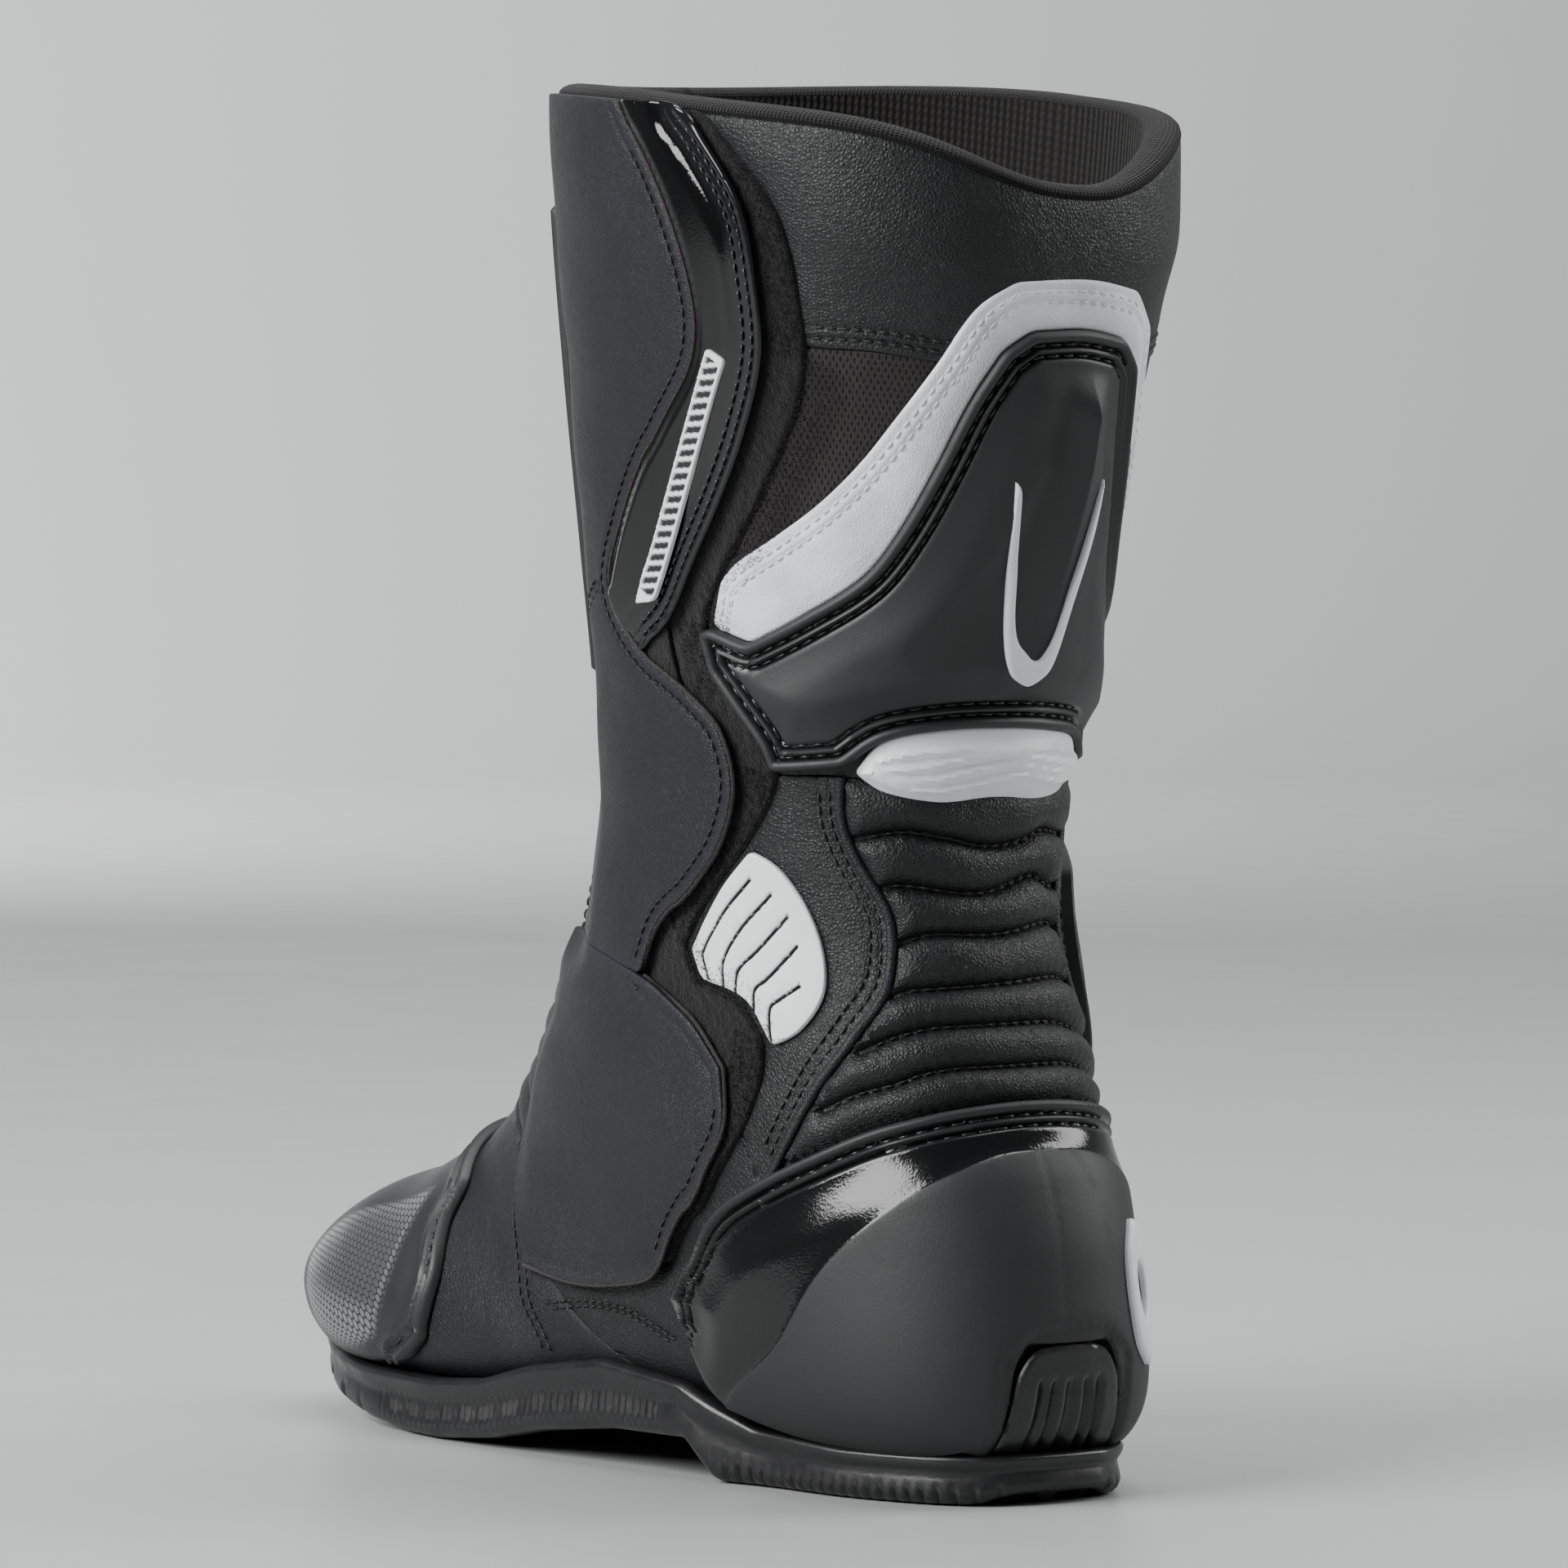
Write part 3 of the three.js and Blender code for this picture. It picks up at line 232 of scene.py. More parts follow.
def tree_of(points):
    tree = KDTree(len(points))
    for i, point in enumerate(points):
        tree.insert(point, i)
    tree.balance()
    return tree


def nearest(points, line):
    """The distance in mm from each point to a line of places."""
    tree = tree_of(on_surface(np.asarray(line, float)))
    return np.array([tree.find(point)[2] for point in points])


def inner_row(outline, distance):
    """The line that runs a distance inside a closed outline, without its tangles."""
    row = beside(outline, distance, True)
    return row[nearest(on_surface(row), outline) > 0.93 * distance]


def inside(points, polygon):
    """Which of the flat points lie in a polygon."""
    x, y = points.T
    hit = np.zeros(len(points), bool)
    for (ax, ay), (bx, by) in zip(polygon, np.roll(polygon, -1, 0)):
        if ay != by:
            crosses = ((ay > y) != (by > y)) & (x < (bx - ax) * (y - ay) / (by - ay) + ax)
            hit ^= crosses
    return hit


def depth_inside(spots, loop):
    """The distance in mm from each vertex to a closed line, negative outside it."""
    return np.where(inside(spots.places, loop), 1, -1) * nearest(spots.points, loop)


def mirrored(line):
    """The line on the other side of the boot, in the opposite order."""
    return [(360 - angle, station) for angle, station in reversed(line)]


def hump(distance, middle, width):
    """A smooth bump: 1 at the middle, near 0 two widths away."""
    return np.exp(-(((distance - middle) / width) ** 2))


def ramp(value, low, high):
    """0 below low, 1 above high and smooth between."""
    t = np.clip((value - low) / (high - low), 0, 1)
    return t * t * (3 - 2 * t)


def ripple(points, size):
    """A soft unevenness between -1 and 1 with features of about a size in mm."""
    turns = points * (2 * math.pi / size)
    return (
        np.sin(turns @ (0.71, 0.33, 0.62) + 1.3) + np.sin(turns @ (-0.42, 0.81, 0.4) + 0.4)
        + np.sin(turns @ (0.25, -0.52, 0.82) * 1.7 + 2.1)
    ) / 3


# -------------------------------------------------------------------- building meshes

class Spots:
    """The vertices of a piece's outer face, for its relief and its masks."""

    def __init__(self, places, rim):
        self.places = places
        self.angle, self.station = places.T
        self.points = on_surface(places)
        self.rim = nearest(self.points, rim)

    def to(self, line):
        return nearest(self.points, smooth_line(line, step=0.5))


def make_object(name, points, faces, material, uv=None, masks=None, sharp=40):
    mesh = bpy.data.meshes.new(name)
    mesh.from_pydata((np.asarray(points) * MM).tolist(), [], faces)
    if uv is not None:
        layer = mesh.uv_layers.new(name="UVMap")
        corners = np.zeros(len(mesh.loops), int)
        mesh.loops.foreach_get("vertex_index", corners)
        layer.data.foreach_set("uv", np.asarray(uv, np.float32)[corners].ravel())
    for mask, values in (masks or {}).items():
        attribute = mesh.attributes.new(mask, "FLOAT", "POINT")
        attribute.data.foreach_set("value", np.asarray(values, np.float32))
    mesh.validate()
    mesh.shade_smooth()
    mesh.set_sharp_from_angle(angle=math.radians(sharp))
    mesh.materials.append(material)
    obj = bpy.data.objects.new(name, mesh)
    bpy.context.scene.collection.objects.link(obj)
    return obj


def settle(obj, body, replaces=()):
    """Rides the piece on its body and hides the CAD nodes it stands for."""
    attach(obj, body)
    if replaces:
        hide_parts(*replaces)
    return obj


def triangulate(rim, holes, extra, mm):
    """Triangles of a flat region: (places, triangles, where each rim point went)."""
    loops = [rim, *holes]
    fixed = np.vstack(loops)
    edges, start = [], 0
    for loop in loops:
        numbers = np.arange(start, start + len(loop))
        edges += list(zip(numbers.tolist(), np.roll(numbers, -1).tolist()))
        start += len(loop)
    flat = np.vstack([fixed, extra]) * mm
    verts, _, faces, origin, _, _ = delaunay_2d_cdt([Vector(p) for p in flat], edges, [], 0, 1e-5)
    verts = np.array([v[:] for v in verts])
    faces = np.array([f[:3] for f in faces])
    middle = verts[faces].mean(1)
    keep = inside(middle, rim * mm)
    for hole in holes:
        keep &= ~inside(middle, hole * mm)
    faces = faces[keep]
    a, b, c = (verts[faces[:, k]] for k in range(3))
    turn = (b - a)[:, 0] * (c - a)[:, 1] - (b - a)[:, 1] * (c - a)[:, 0]
    faces[turn > 0] = faces[turn > 0][:, ::-1]
    where = {}
    for out, sources in enumerate(origin):
        for source in sources:
            where[source] = out
    return verts / mm, faces, [where[i] for i in range(len(fixed))]


def grid_points(rim, holes, mm, pitch):
    """Points on a triangular grid inside an outline."""
    low, high = (rim * mm).min(0), (rim * mm).max(0)
    rows = np.arange(low[1] + pitch / 2, high[1], pitch * 0.87)
    points = np.zeros((0, 2))
    for i, row in enumerate(rows):
        across = np.arange(low[0] + (i % 2) * pitch / 2, high[0], pitch)
        points = np.vstack([points, np.column_stack([across, np.full(len(across), row)])])
    keep = inside(points, rim * mm)
    for hole in holes:
        keep &= ~inside(points, hole * mm)
    return points[keep] / mm


def thinned(points, spacing):
    """One point in each cell of a grid."""
    _, first = np.unique(np.round(points / spacing), axis=0, return_index=True)
    return points[np.sort(first)]


def panel(name, outline, depths, material, body="boot", nodes=(), relief=None, masks=None,
          pitch=2.2, rows=(), lines=(), edge=0.5, step=1.1, holes=(), passes=2, lower=None, corner=50):
    """A sheet or moulding on the chart with a rounded edge and its own relief."""
    rim = rounded(outline, step, passes, corner)
    holes = [rounded(hole, step, 1) for hole in holes]
    mm = scales(rim).mean(0)
    fixed = np.vstack([rim, *holes])
    extra = [beside(loop, side * distance, True)
             for loop, side in [(rim, 1)] + [(hole, -1) for hole in holes]
             for distance in [edge * 0.35, edge, *rows]]
    for line, offsets in lines:
        fine = smooth_line(line, step=max(0.7, step * 0.7))
        extra += [beside(fine, offset) for offset in offsets]
    extra = np.vstack(extra)
    extra = extra[inside(extra * mm, rim * mm)]
    for hole in holes:
        extra = extra[~inside(extra * mm, hole * mm)]
    extra = extra[nearest(on_surface(extra), fixed) > 0.3 * edge]
    extra = thinned(extra * mm, 0.3) / mm
    grid = grid_points(rim, holes, mm, pitch)
    taken = np.vstack([fixed, extra])
    if len(grid):
        grid = grid[nearest(on_surface(grid), taken) > 0.55 * pitch]
    places, faces, rim_top = triangulate(rim, holes, np.vstack([extra, grid]), mm)
    coarse = grid_points(rim, holes, mm, pitch * 3)
    if len(coarse):
        coarse = coarse[nearest(on_surface(coarse), fixed) > pitch]
    under, under_faces, rim_under = triangulate(rim, holes, coarse, mm)

    spots = Spots(places, fixed)
    fall = np.clip(1 - spots.rim / edge, 0, 1)
    height = depths[1] - edge * (1 - np.sqrt(1 - 0.98 * fall**2))
    if relief is not None:
        height = height + relief(spots)
    floor = np.full(len(under), float(depths[0]))
    if lower is not None:
        floor = floor + lower(Spots(under, fixed))
    top, bottom = skin(places, height), skin(under, floor)
    count = len(places)
    quads, start = [], 0
    for loop in [rim, *holes]:
        for i in range(len(loop)):
            a, b = start + i, start + (i + 1) % len(loop)
            quads.append([rim_top[a], rim_top[b], count + rim_under[b], count + rim_under[a]])
        start += len(loop)
    outline_turn = np.sum(rim[:, 0] * np.roll(rim[:, 1], -1) - np.roll(rim[:, 0], -1) * rim[:, 1])
    if outline_turn > 0:
        quads = [q[::-1] for q in quads]
    triangles = faces.tolist() + (under_faces[:, ::-1] + count).tolist() + quads
    shown = {"rim": np.exp(-spots.rim / 1.2)}
    for mask, rule in (masks or {}).items():
        shown[mask] = rule(spots)
    shown = {k: np.concatenate([v, np.zeros(len(under))]) for k, v in shown.items()}
    uv = np.vstack([places, under]) * mm * MM
    obj = make_object(name, np.vstack([top, bottom]), triangles, material, uv, shown)
    return settle(obj, body, nodes)


def bands(levels, count):
    """The faces between stacked loops of as many points each."""
    return [
        [level * count + i, level * count + (i + 1) % count, (level + 1) * count + (i + 1) % count,
         (level + 1) * count + i]
        for level in range(levels - 1) for i in range(count)
    ]


class Thread:
    """Collects stitches, then makes one piece of them."""

    def __init__(self, name, material, body="boot"):
        self.name, self.material, self.body = name, material, body
        self.points, self.faces = [], []

    def along(self, line, height, closed=False, length=2.3, pitch=3.1, radius=0.32):
        """A row of stitches along a smooth line of places."""
        line = np.vstack([line, line[:1]]) if closed else np.asarray(line)
        path = skin(line, height)
        run = np.concatenate([[0], np.cumsum(np.linalg.norm(np.diff(path, axis=0), axis=1))])
        normal = unit(skin(line, np.asarray(height) + 1.0) - path)
        count = int((run[-1] - length) / pitch)
        if count < 1:
            return
        middle = (run[-1] - (count - 1) * pitch) / 2 + np.arange(count) * pitch
        profile = [(-1, 0.35, -0.9), (-0.75, 0.85, -0.1), (0, 1, 0.35), (0.75, 0.85, -0.1), (1, 0.35, -0.9)]
        sides = 6
        rings = []
        for at, size, lift in profile:
            where = middle + at * length / 2
            centre = np.column_stack([np.interp(where, run, path[:, k]) for k in range(3)])
            up = unit(np.column_stack([np.interp(where, run, normal[:, k]) for k in range(3)]))
            ahead = np.column_stack([np.interp(where + 0.5, run, path[:, k]) for k in range(3)])
            behind = np.column_stack([np.interp(where - 0.5, run, path[:, k]) for k in range(3)])
            across = unit(np.cross(unit(ahead - behind), up))
            for k in range(sides):
                turn = 2 * math.pi * k / sides
                rings.append(
                    centre + radius * (size * (math.cos(turn) * across + math.sin(turn) * up) + lift * up)
                )
        points = np.stack(rings, 1)
        start = sum(len(p) for p in self.points)
        levels = len(profile)
        per_stitch = levels * sides
        template = bands(levels, sides)
        ends = [list(range(sides))[::-1], [(levels - 1) * sides + k for k in range(sides)]]
        for stitch in range(count):
            base = start + stitch * per_stitch
            self.faces += [[base + v for v in face] for face in template + ends]
        self.points.append(points.reshape(-1, 3))

    def make(self):
        obj = make_object(self.name, np.vstack(self.points), self.faces, self.material, sharp=80)
        return settle(obj, self.body)


def runs_of(row, keep=None):
    """The unbroken stretches of a line whose points are all kept."""
    keep = np.ones(len(row), bool) if keep is None else keep
    points = on_surface(row)
    parts, part = [], []
    for i in range(len(row)):
        if part and (not keep[i] or np.linalg.norm(points[i] - points[part[-1]]) > 3):
            parts.append(row[part])
            part = []
        if keep[i]:
            part.append(i)
    parts.append(row[part])
    if len(parts) > 1 and keep[0] and keep[-1] and np.linalg.norm(points[0] - points[-1]) < 3:
        parts[0] = np.vstack([parts.pop(), parts[0]])
    return [part for part in parts if len(part) > 5]


def stitch_inside(thread, outline, distances, height, only_by=None, slack=0.0, **stitch):
    """Rows of stitches at distances inside a closed line, where they also follow another line."""
    for distance in distances:
        row = inner_row(outline, distance)
        keep = None if only_by is None else nearest(on_surface(row), only_by) < distance + slack
        for part in runs_of(row, keep):
            thread.along(part, height(part) if callable(height) else height, **stitch)


def rope(name, line, height, size, material, body="boot", nodes=(), closed=True, sides=12,
         wobble=0):
    """A roll of fabric or leather along a line of places: size is its half width and half height."""
    path = skin(line, height)
    up = unit(skin(line, height + 1.0) - path)
    run = np.roll(path, -1, 0) - np.roll(path, 1, 0) if closed else np.gradient(path, axis=0)
    forward = unit(run)
    if nodes and closed:
        across, rise = up, unit(np.cross(forward, up))
        rise = rise * np.sign(rise[:, 2:].mean())
    else:
        across, rise = unit(np.cross(forward, up)), up
    points, uv = [], []
    travel = np.concatenate([[0], np.cumsum(np.linalg.norm(np.diff(path, axis=0), axis=1))])
    for k in range(sides):
        turn = 2 * math.pi * k / sides
        swell = 1 + wobble * np.sin(travel * 2.1 + 3 * turn)
        offset = size[0] * math.cos(turn) * across + size[1] * math.sin(turn) * rise
        points.append(path + offset * swell[:, None])
        uv.append(np.column_stack([travel, np.full(len(path), k * 2.0)]) * MM)
    count = len(path)
    stack = np.stack(points, 1).reshape(-1, 3)
    faces = []
    for i in range(count if closed else count - 1):
        j = (i + 1) % count
        for k in range(sides):
            m = (k + 1) % sides
            faces.append([i * sides + k, j * sides + k, j * sides + m, i * sides + m])
    if not closed:
        faces.append(list(range(sides)))
        faces.append([(count - 1) * sides + k for k in range(sides)][::-1])
    obj = make_object(name, stack, faces, material, np.stack(uv, 1).reshape(-1, 2), sharp=60)
    fix_normals(obj)
    return settle(obj, body, nodes)


def fix_normals(obj):
    """Turns every face outwards."""
    work = bmesh.new()
    work.from_mesh(obj.data)
    bmesh.ops.recalc_face_normals(work, faces=work.faces)
    work.to_mesh(obj.data)
    work.free()


# ------------------------------------------------------------------------- materials

MESH_HOLE = 1.7  # from one hole of the mesh to the next, mm
HEXAGON = 2.1  # from one cell of the toe cap's film to the next, mm


class Finish:
    """One procedural material: a shader and the nodes that vary it."""

    def __init__(self, name, color, roughness, **settings):
        self.material = bpy.data.materials.new(name)
        self.material.use_nodes = True
        self.nodes, self.links = self.material.node_tree.nodes, self.material.node_tree.links
        self.shader = self.nodes["Principled BSDF"]
        self.shader.inputs["Base Color"].default_value = (*color, 1)
        self.shader.inputs["Roughness"].default_value = roughness
        for socket, value in settings.items():
            self.shader.inputs[socket.replace("_", " ")].default_value = value
        self.bumped = None

    def add(self, kind, inputs, output=0, **props):
        """A node with its inputs set or linked; gives back one of its outputs."""
        node = self.nodes.new(kind)
        for key, value in props.items():
            setattr(node, key, value)
        for socket, value in inputs.items():
            if isinstance(value, bpy.types.NodeSocket):
                self.links.new(value, node.inputs[socket])
            else:
                node.inputs[socket].default_value = value
        return node.outputs[output]

    def place(self, which="Object"):
        return self.add("ShaderNodeTexCoord", {}, which)

    def mask(self, name):
        return self.add("ShaderNodeAttribute", {}, "Fac", attribute_name=name)

    def math(self, operation, *values):
        return self.add("ShaderNodeMath", dict(enumerate(values)), operation=operation)

    def noise(self, size, detail=3, where="Object"):
        """Cloudy noise with features of about a size in mm."""
        inputs = {"Vector": self.place(where), "Scale": 1 / (size * MM), "Detail": detail}
        return self.add("ShaderNodeTexNoise", inputs)

    def cells(self, size, feature="DISTANCE_TO_EDGE"):
        """Cells of a size in mm, with slightly wandering borders."""
        wander = self.noise(size * 2, 2)
        shifted = self.add("ShaderNodeVectorMath", {0: self.place(), 1: self.add(
            "ShaderNodeCombineXYZ", {k: self.math("MULTIPLY", wander, size * MM) for k in range(3)})},
            operation="ADD")
        inputs = {"Vector": shifted, "Scale": 1 / (size * MM)}
        return self.add("ShaderNodeTexVoronoi", inputs, feature=feature)

    def along(self, direction):
        """How far the chart's own metres run along a direction."""
        inputs = {0: self.place("UV"), 1: direction}
        return self.add("ShaderNodeVectorMath", inputs, "Value", operation="DOT_PRODUCT")

    def remap(self, value, low, high, to_low=0.0, to_high=1.0):
        return self.add("ShaderNodeMapRange", {
            "Value": value, "From Min": low, "From Max": high, "To Min": to_low, "To Max": to_high})

    def blend(self, factor, first, second):
        return self.add("ShaderNodeMix", {0: factor, 6: (*first, 1) if isinstance(first, tuple) else first,
                                          7: (*second, 1) if isinstance(second, tuple) else second},
                        2, data_type="RGBA")

    def bump(self, height, depth, strength=1.0):
        """Adds a relief of a depth in mm on top of the ones before."""
        inputs = {"Height": height, "Distance": depth * MM, "Strength": strength}
        if self.bumped is not None:
            inputs["Normal"] = self.bumped
        self.bumped = self.add("ShaderNodeBump", inputs)
        self.links.new(self.bumped, self.shader.inputs["Normal"])
        return self

    def set(self, socket, value):
        self.links.new(value, self.shader.inputs[socket])
        return self


def tint(color, factor):
    """The colour made darker or paler."""
    return tuple(min(1.0, c * factor) for c in color)


def leather(name, color, cell, depth, roughness, edge_paleness=1.6):
    """Coated leather: rounded pebbles, fine pores, faint blotches and paler edges."""
    f = Finish(name, color, roughness, Specular_IOR_Level=0.38)
    pebble = f.remap(f.cells(cell), 0.0, 0.32)
    fine = f.noise(cell * 0.35, 2)
    f.bump(pebble, depth).bump(fine, depth * 0.5).bump(f.noise(9, 3), 0.35)
    blotch = f.remap(f.noise(22, 4), 0.35, 0.65)
    base = f.blend(blotch, tint(color, 0.82), tint(color, 1.14))
    # paler within about a millimetre of each cut edge, halfway to the edge tint at the edge itself
    base = f.blend(f.math("MULTIPLY", f.mask("rim"), 0.5), base, tint(color, edge_paleness))
    f.set("Base Color", f.blend(f.math("MULTIPLY", f.mask("dark"), 1.0), base, (0.01, 0.01, 0.011)))
    uneven = f.math("ADD", pebble, f.noise(5, 3))
    f.set("Roughness", f.remap(uneven, 0.3, 1.7, roughness + 0.1, roughness - 0.06))
    return f.material


def moulding(name, color, roughness, shine=0.12, depth=0.05):
    """Moulded plastic: faint orange peel and scuffs, polished where its gloss mask says."""
    f = Finish(name, color, roughness, Specular_IOR_Level=0.5)
    f.bump(f.noise(0.7, 2), depth).bump(f.noise(14, 3), depth * 3)
    scuff = f.remap(f.noise(6, 5), 0.55, 0.75)
    base = f.blend(f.math("MULTIPLY", scuff, 0.35), color, tint(color, 1.25))
    base = f.blend(f.mask("gloss"), base, tint(color, 0.35))
    f.set("Base Color", f.blend(f.mask("dark"), base, (0.012, 0.012, 0.013)))
    satin = f.remap(scuff, 0, 1, roughness, roughness + 0.08)
    f.set("Roughness", f.add("ShaderNodeMix", {0: f.mask("gloss"), 2: satin, 3: shine}))
    return f.material


def knit(name, color, pitch, depth, sheen=0.3):
    """Ribbed knit: columns of small loops, on the chart's own millimetres, darker in the troughs as painted shade
    and paler on the crests as painted highlight.
    """
    f = Finish(name, color, 0.92, Sheen_Weight=sheen, Specular_IOR_Level=0.25)
    across = f.add("ShaderNodeSeparateXYZ", {"Vector": f.place("UV")}, 0)
    down = f.add("ShaderNodeSeparateXYZ", {"Vector": f.place("UV")}, 1)
    turn = 2 * math.pi / (pitch * MM)
    ribs = f.math("SINE", f.math("MULTIPLY", across, turn))
    lean = f.math("ADD", f.math("MULTIPLY", down, turn * 0.8), f.math("MULTIPLY", ribs, 0.8))
    loops = f.math("SINE", lean)
    weave = f.math("ADD", f.math("MULTIPLY", ribs, 0.6), f.math("MULTIPLY", loops, 0.4))
    f.bump(weave, depth).bump(f.noise(0.4, 3), depth * 0.5)
    # The colour follows the weave's height: painted shade in its troughs, painted highlight on its crests.
    f.set("Base Color", f.blend(f.remap(weave, -0.9, 0.9), tint(color, 0.35), tint(color, 1.5)))
    return f.material


def nap(name, color):
    """Fuzzy pile, darker where its tufts sit low as painted shade and paler where they stand high as painted
    highlight.
    """
    f = Finish(name, color, 1.0, Sheen_Weight=0.12, Sheen_Roughness=0.6, Specular_IOR_Level=0.1)
    tufts = f.noise(0.5, 4)
    f.bump(tufts, 0.5).bump(f.noise(2.2, 3), 0.6)
    # Darker where the tufts sit low and paler where they stand high: painted shade between the tufts, painted
    # highlight on them.
    f.set("Base Color", f.blend(f.remap(tufts, 0.35, 0.7), tint(color, 0.45), tint(color, 1.7)))
    return f.material


def rough_stuff(name, color, size, depth, roughness, spread=0.3, **settings):
    """Foam, board, rubber or metal: one colour with noise in its tone, gloss and relief."""
    f = Finish(name, color, roughness, **settings)
    grain = f.noise(size, 5)
    f.bump(grain, depth)
    f.set("Base Color", f.blend(f.remap(grain, 0.3, 0.7), tint(color, 1 - spread), tint(color, 1 + spread)))
    f.set("Roughness", f.remap(f.noise(size * 6, 3), 0.3, 0.7, roughness - 0.07, roughness + 0.07))
    return f.material


def spacer(name, color):
    """Open mesh knitted with small holes in staggered rows; the holes are only sunk and painted near black, as
    painted shade.
    """
    f = Finish(name, color, 0.8, Sheen_Weight=0.1, Specular_IOR_Level=0.3)
    reach = 2 * math.pi / (MESH_HOLE * MM)
    waves = 1.0
    for direction in ((reach * 0.5, reach * 0.29, 0), (-reach * 0.5, reach * 0.29, 0)):
        along = f.along(direction)
        waves = f.math("MULTIPLY", waves, f.math("COSINE", along))
    hole = f.remap(f.math("MULTIPLY", waves, waves), 0.25, 0.6)
    f.bump(hole, -0.5).bump(f.noise(0.5, 4), 0.2)
    # The holes are painted near black: painted shade where the mesh is not cut through.
    f.set("Base Color", f.blend(hole, tint(color, 1.5), tint(color, 0.15)))
    return f.material


def film_plastic():
    """The toe cap: satin plastic with a metal film printed in rows of hexagons."""
    base = (0.0125, 0.013, 0.014)
    f = Finish("toe_cap_film", base, 0.45, Specular_IOR_Level=0.5)
    f.bump(f.noise(0.7, 2), 0.05)
    reach = 2 * math.pi / (HEXAGON * 0.866 * MM)
    waves = 0.0
    for heading in (0.2, 0.2 + math.pi / 3, 0.2 + 2 * math.pi / 3):
        direction = (reach * math.cos(heading), reach * math.sin(heading), 0)
        along = f.along(direction)
        waves = f.math("ADD", waves, f.math("COSINE", along))
    film = f.math("MULTIPLY", f.remap(waves, -0.9, -0.5), f.mask("film"))
    f.set("Base Color", f.blend(film, base, (0.34, 0.345, 0.35)))
    f.set("Roughness", f.remap(film, 0, 1, 0.45, 0.24))
    f.set("Metallic", f.math("MULTIPLY", film, 0.9))
    return f.material


SMOOTH = leather("smooth_leather_grain", (0.0068, 0.0080, 0.0112), 0.75, 0.09, 0.46, 2.2)
GRAIN = leather("pebbled_leather", (0.0066, 0.0069, 0.0076), 0.95, 0.11, 0.45)
WHITE = leather("white_leather_grain", (0.74, 0.76, 0.78), 0.9, 0.07, 0.5, 1.05)
MATTE = moulding("satin_moulding", (0.0135, 0.014, 0.015), 0.56)
GLOSS = moulding("polished_moulding", (0.006, 0.006, 0.007), 0.14, 0.06, 0.02)
SHELL_WHITE = moulding("white_moulding", (0.80, 0.82, 0.83), 0.42)
SHELL_GREY = moulding("grey_moulding", (0.42, 0.44, 0.46), 0.4)
KNIT = knit("ribbed_lining", (0.0065, 0.0055, 0.0052), 1.5, 0.35, 0.08)
BINDING = knit("binding_weave", (0.0075, 0.007, 0.007), 1.0, 0.3, 0.08)
MESH = spacer("mesh_yarn", (0.013, 0.010, 0.0105))
PILE = nap("loop_pile", (0.0055, 0.0052, 0.0052))
RUBBER = rough_stuff("sole_rubber_skin", (0.0085, 0.0085, 0.0095), 1.2, 0.06, 0.36)
THREAD = rough_stuff("black_thread", (0.0065, 0.0065, 0.007), 0.3, 0.08, 0.6, 0.4)
THREAD_WHITE = rough_stuff("white_thread", (0.66, 0.67, 0.70), 0.3, 0.08, 0.6, 0.1)
THREAD_WAXED = rough_stuff("waxed_thread", (0.016, 0.016, 0.018), 0.3, 0.05, 0.22, 0.3)
CUT_EDGE = rough_stuff("cut_leather_edge", (0.030, 0.028, 0.026), 0.5, 0.3, 0.9, 0.6)
FOAM_CELL = rough_stuff("open_cell_foam", (0.15, 0.16, 0.17), 0.7, 0.3, 0.95)
BOARD = rough_stuff("fibre_board", (0.045, 0.040, 0.036), 0.5, 0.1, 0.9)
STEEL = rough_stuff("brushed_steel", (0.35, 0.36, 0.37), 0.4, 0.02, 0.35, 0.1, Metallic=1.0)
ZIP_BLACK = rough_stuff("blackened_metal", (0.03, 0.03, 0.032), 0.4, 0.02, 0.35, 0.2, Metallic=0.7)
TOE_FILM = film_plastic()

# --------------------------------------------------------- outlines, as in the model

COLLAR_SEAM, GUARD_BOTTOM, ANKLE_FRONT, BELLOWS_EDGE = 1.45, 3.96, 6.05, 47
CHANNEL_FRONT, CHANNEL_REAR, CHANNEL_BOTTOM = 67, 83, 5.0
OUTER_FRONT, OUTER_BACK = 294, 241
LOOP_UPPER = [
    (110, 0.39), (118, 0.65), (122, 0.95), (125, 1.42), (124, 1.75), (120, 2.05),
    (114, 2.4), (108, 2.7), (104, 2.9), (101, 3.16), (104, 3.45), (112, 3.68), (118, 3.86),
]
LOOP_ANKLE = [(120, 4.03), (117, 4.25), (110, 4.55), (101, 4.88), (93, 5.22), (89, 5.5), (91, 5.73)]
LOOP_LOWER = [(103, 5.76), (108, 5.95), (107, 6.2), (101, 6.7), (94, 7.2), (88, 7.7), (86, 8.15)]
HEEL_TOP = [(105, 7.0), (118, 6.64), (134, 6.33), (151, 6.14), (166, 6.05), (180, 6.02)]
BELLOWS_FRONT = [
    (138, GUARD_BOTTOM), (138, 4.28), (142, 4.54), (149, 4.85), (149, 5.1),
    (145, 5.38), (134, 5.71), (122, 6.11), (114, 6.5), (108, 6.9),
]
FLAP_EDGE_UPPER = [(87, 0.19), (97, 0.8), (102, 1.3), (101, 1.6), (94, 1.96), (81, 2.65), (75, 3.0)]
FLAP_EDGE_ANKLE = [
    (77, 3.2), (86, 3.43), (99, 3.62), (107, 3.8), (110, 4.15), (105, 4.58), (96, 4.97), (85, 5.42),
    (80, 5.8),
]
FEATHER = [(180, 8.1), (160, 8.2), (146, 8.55), (132, 9.1), (124, 9.6)]
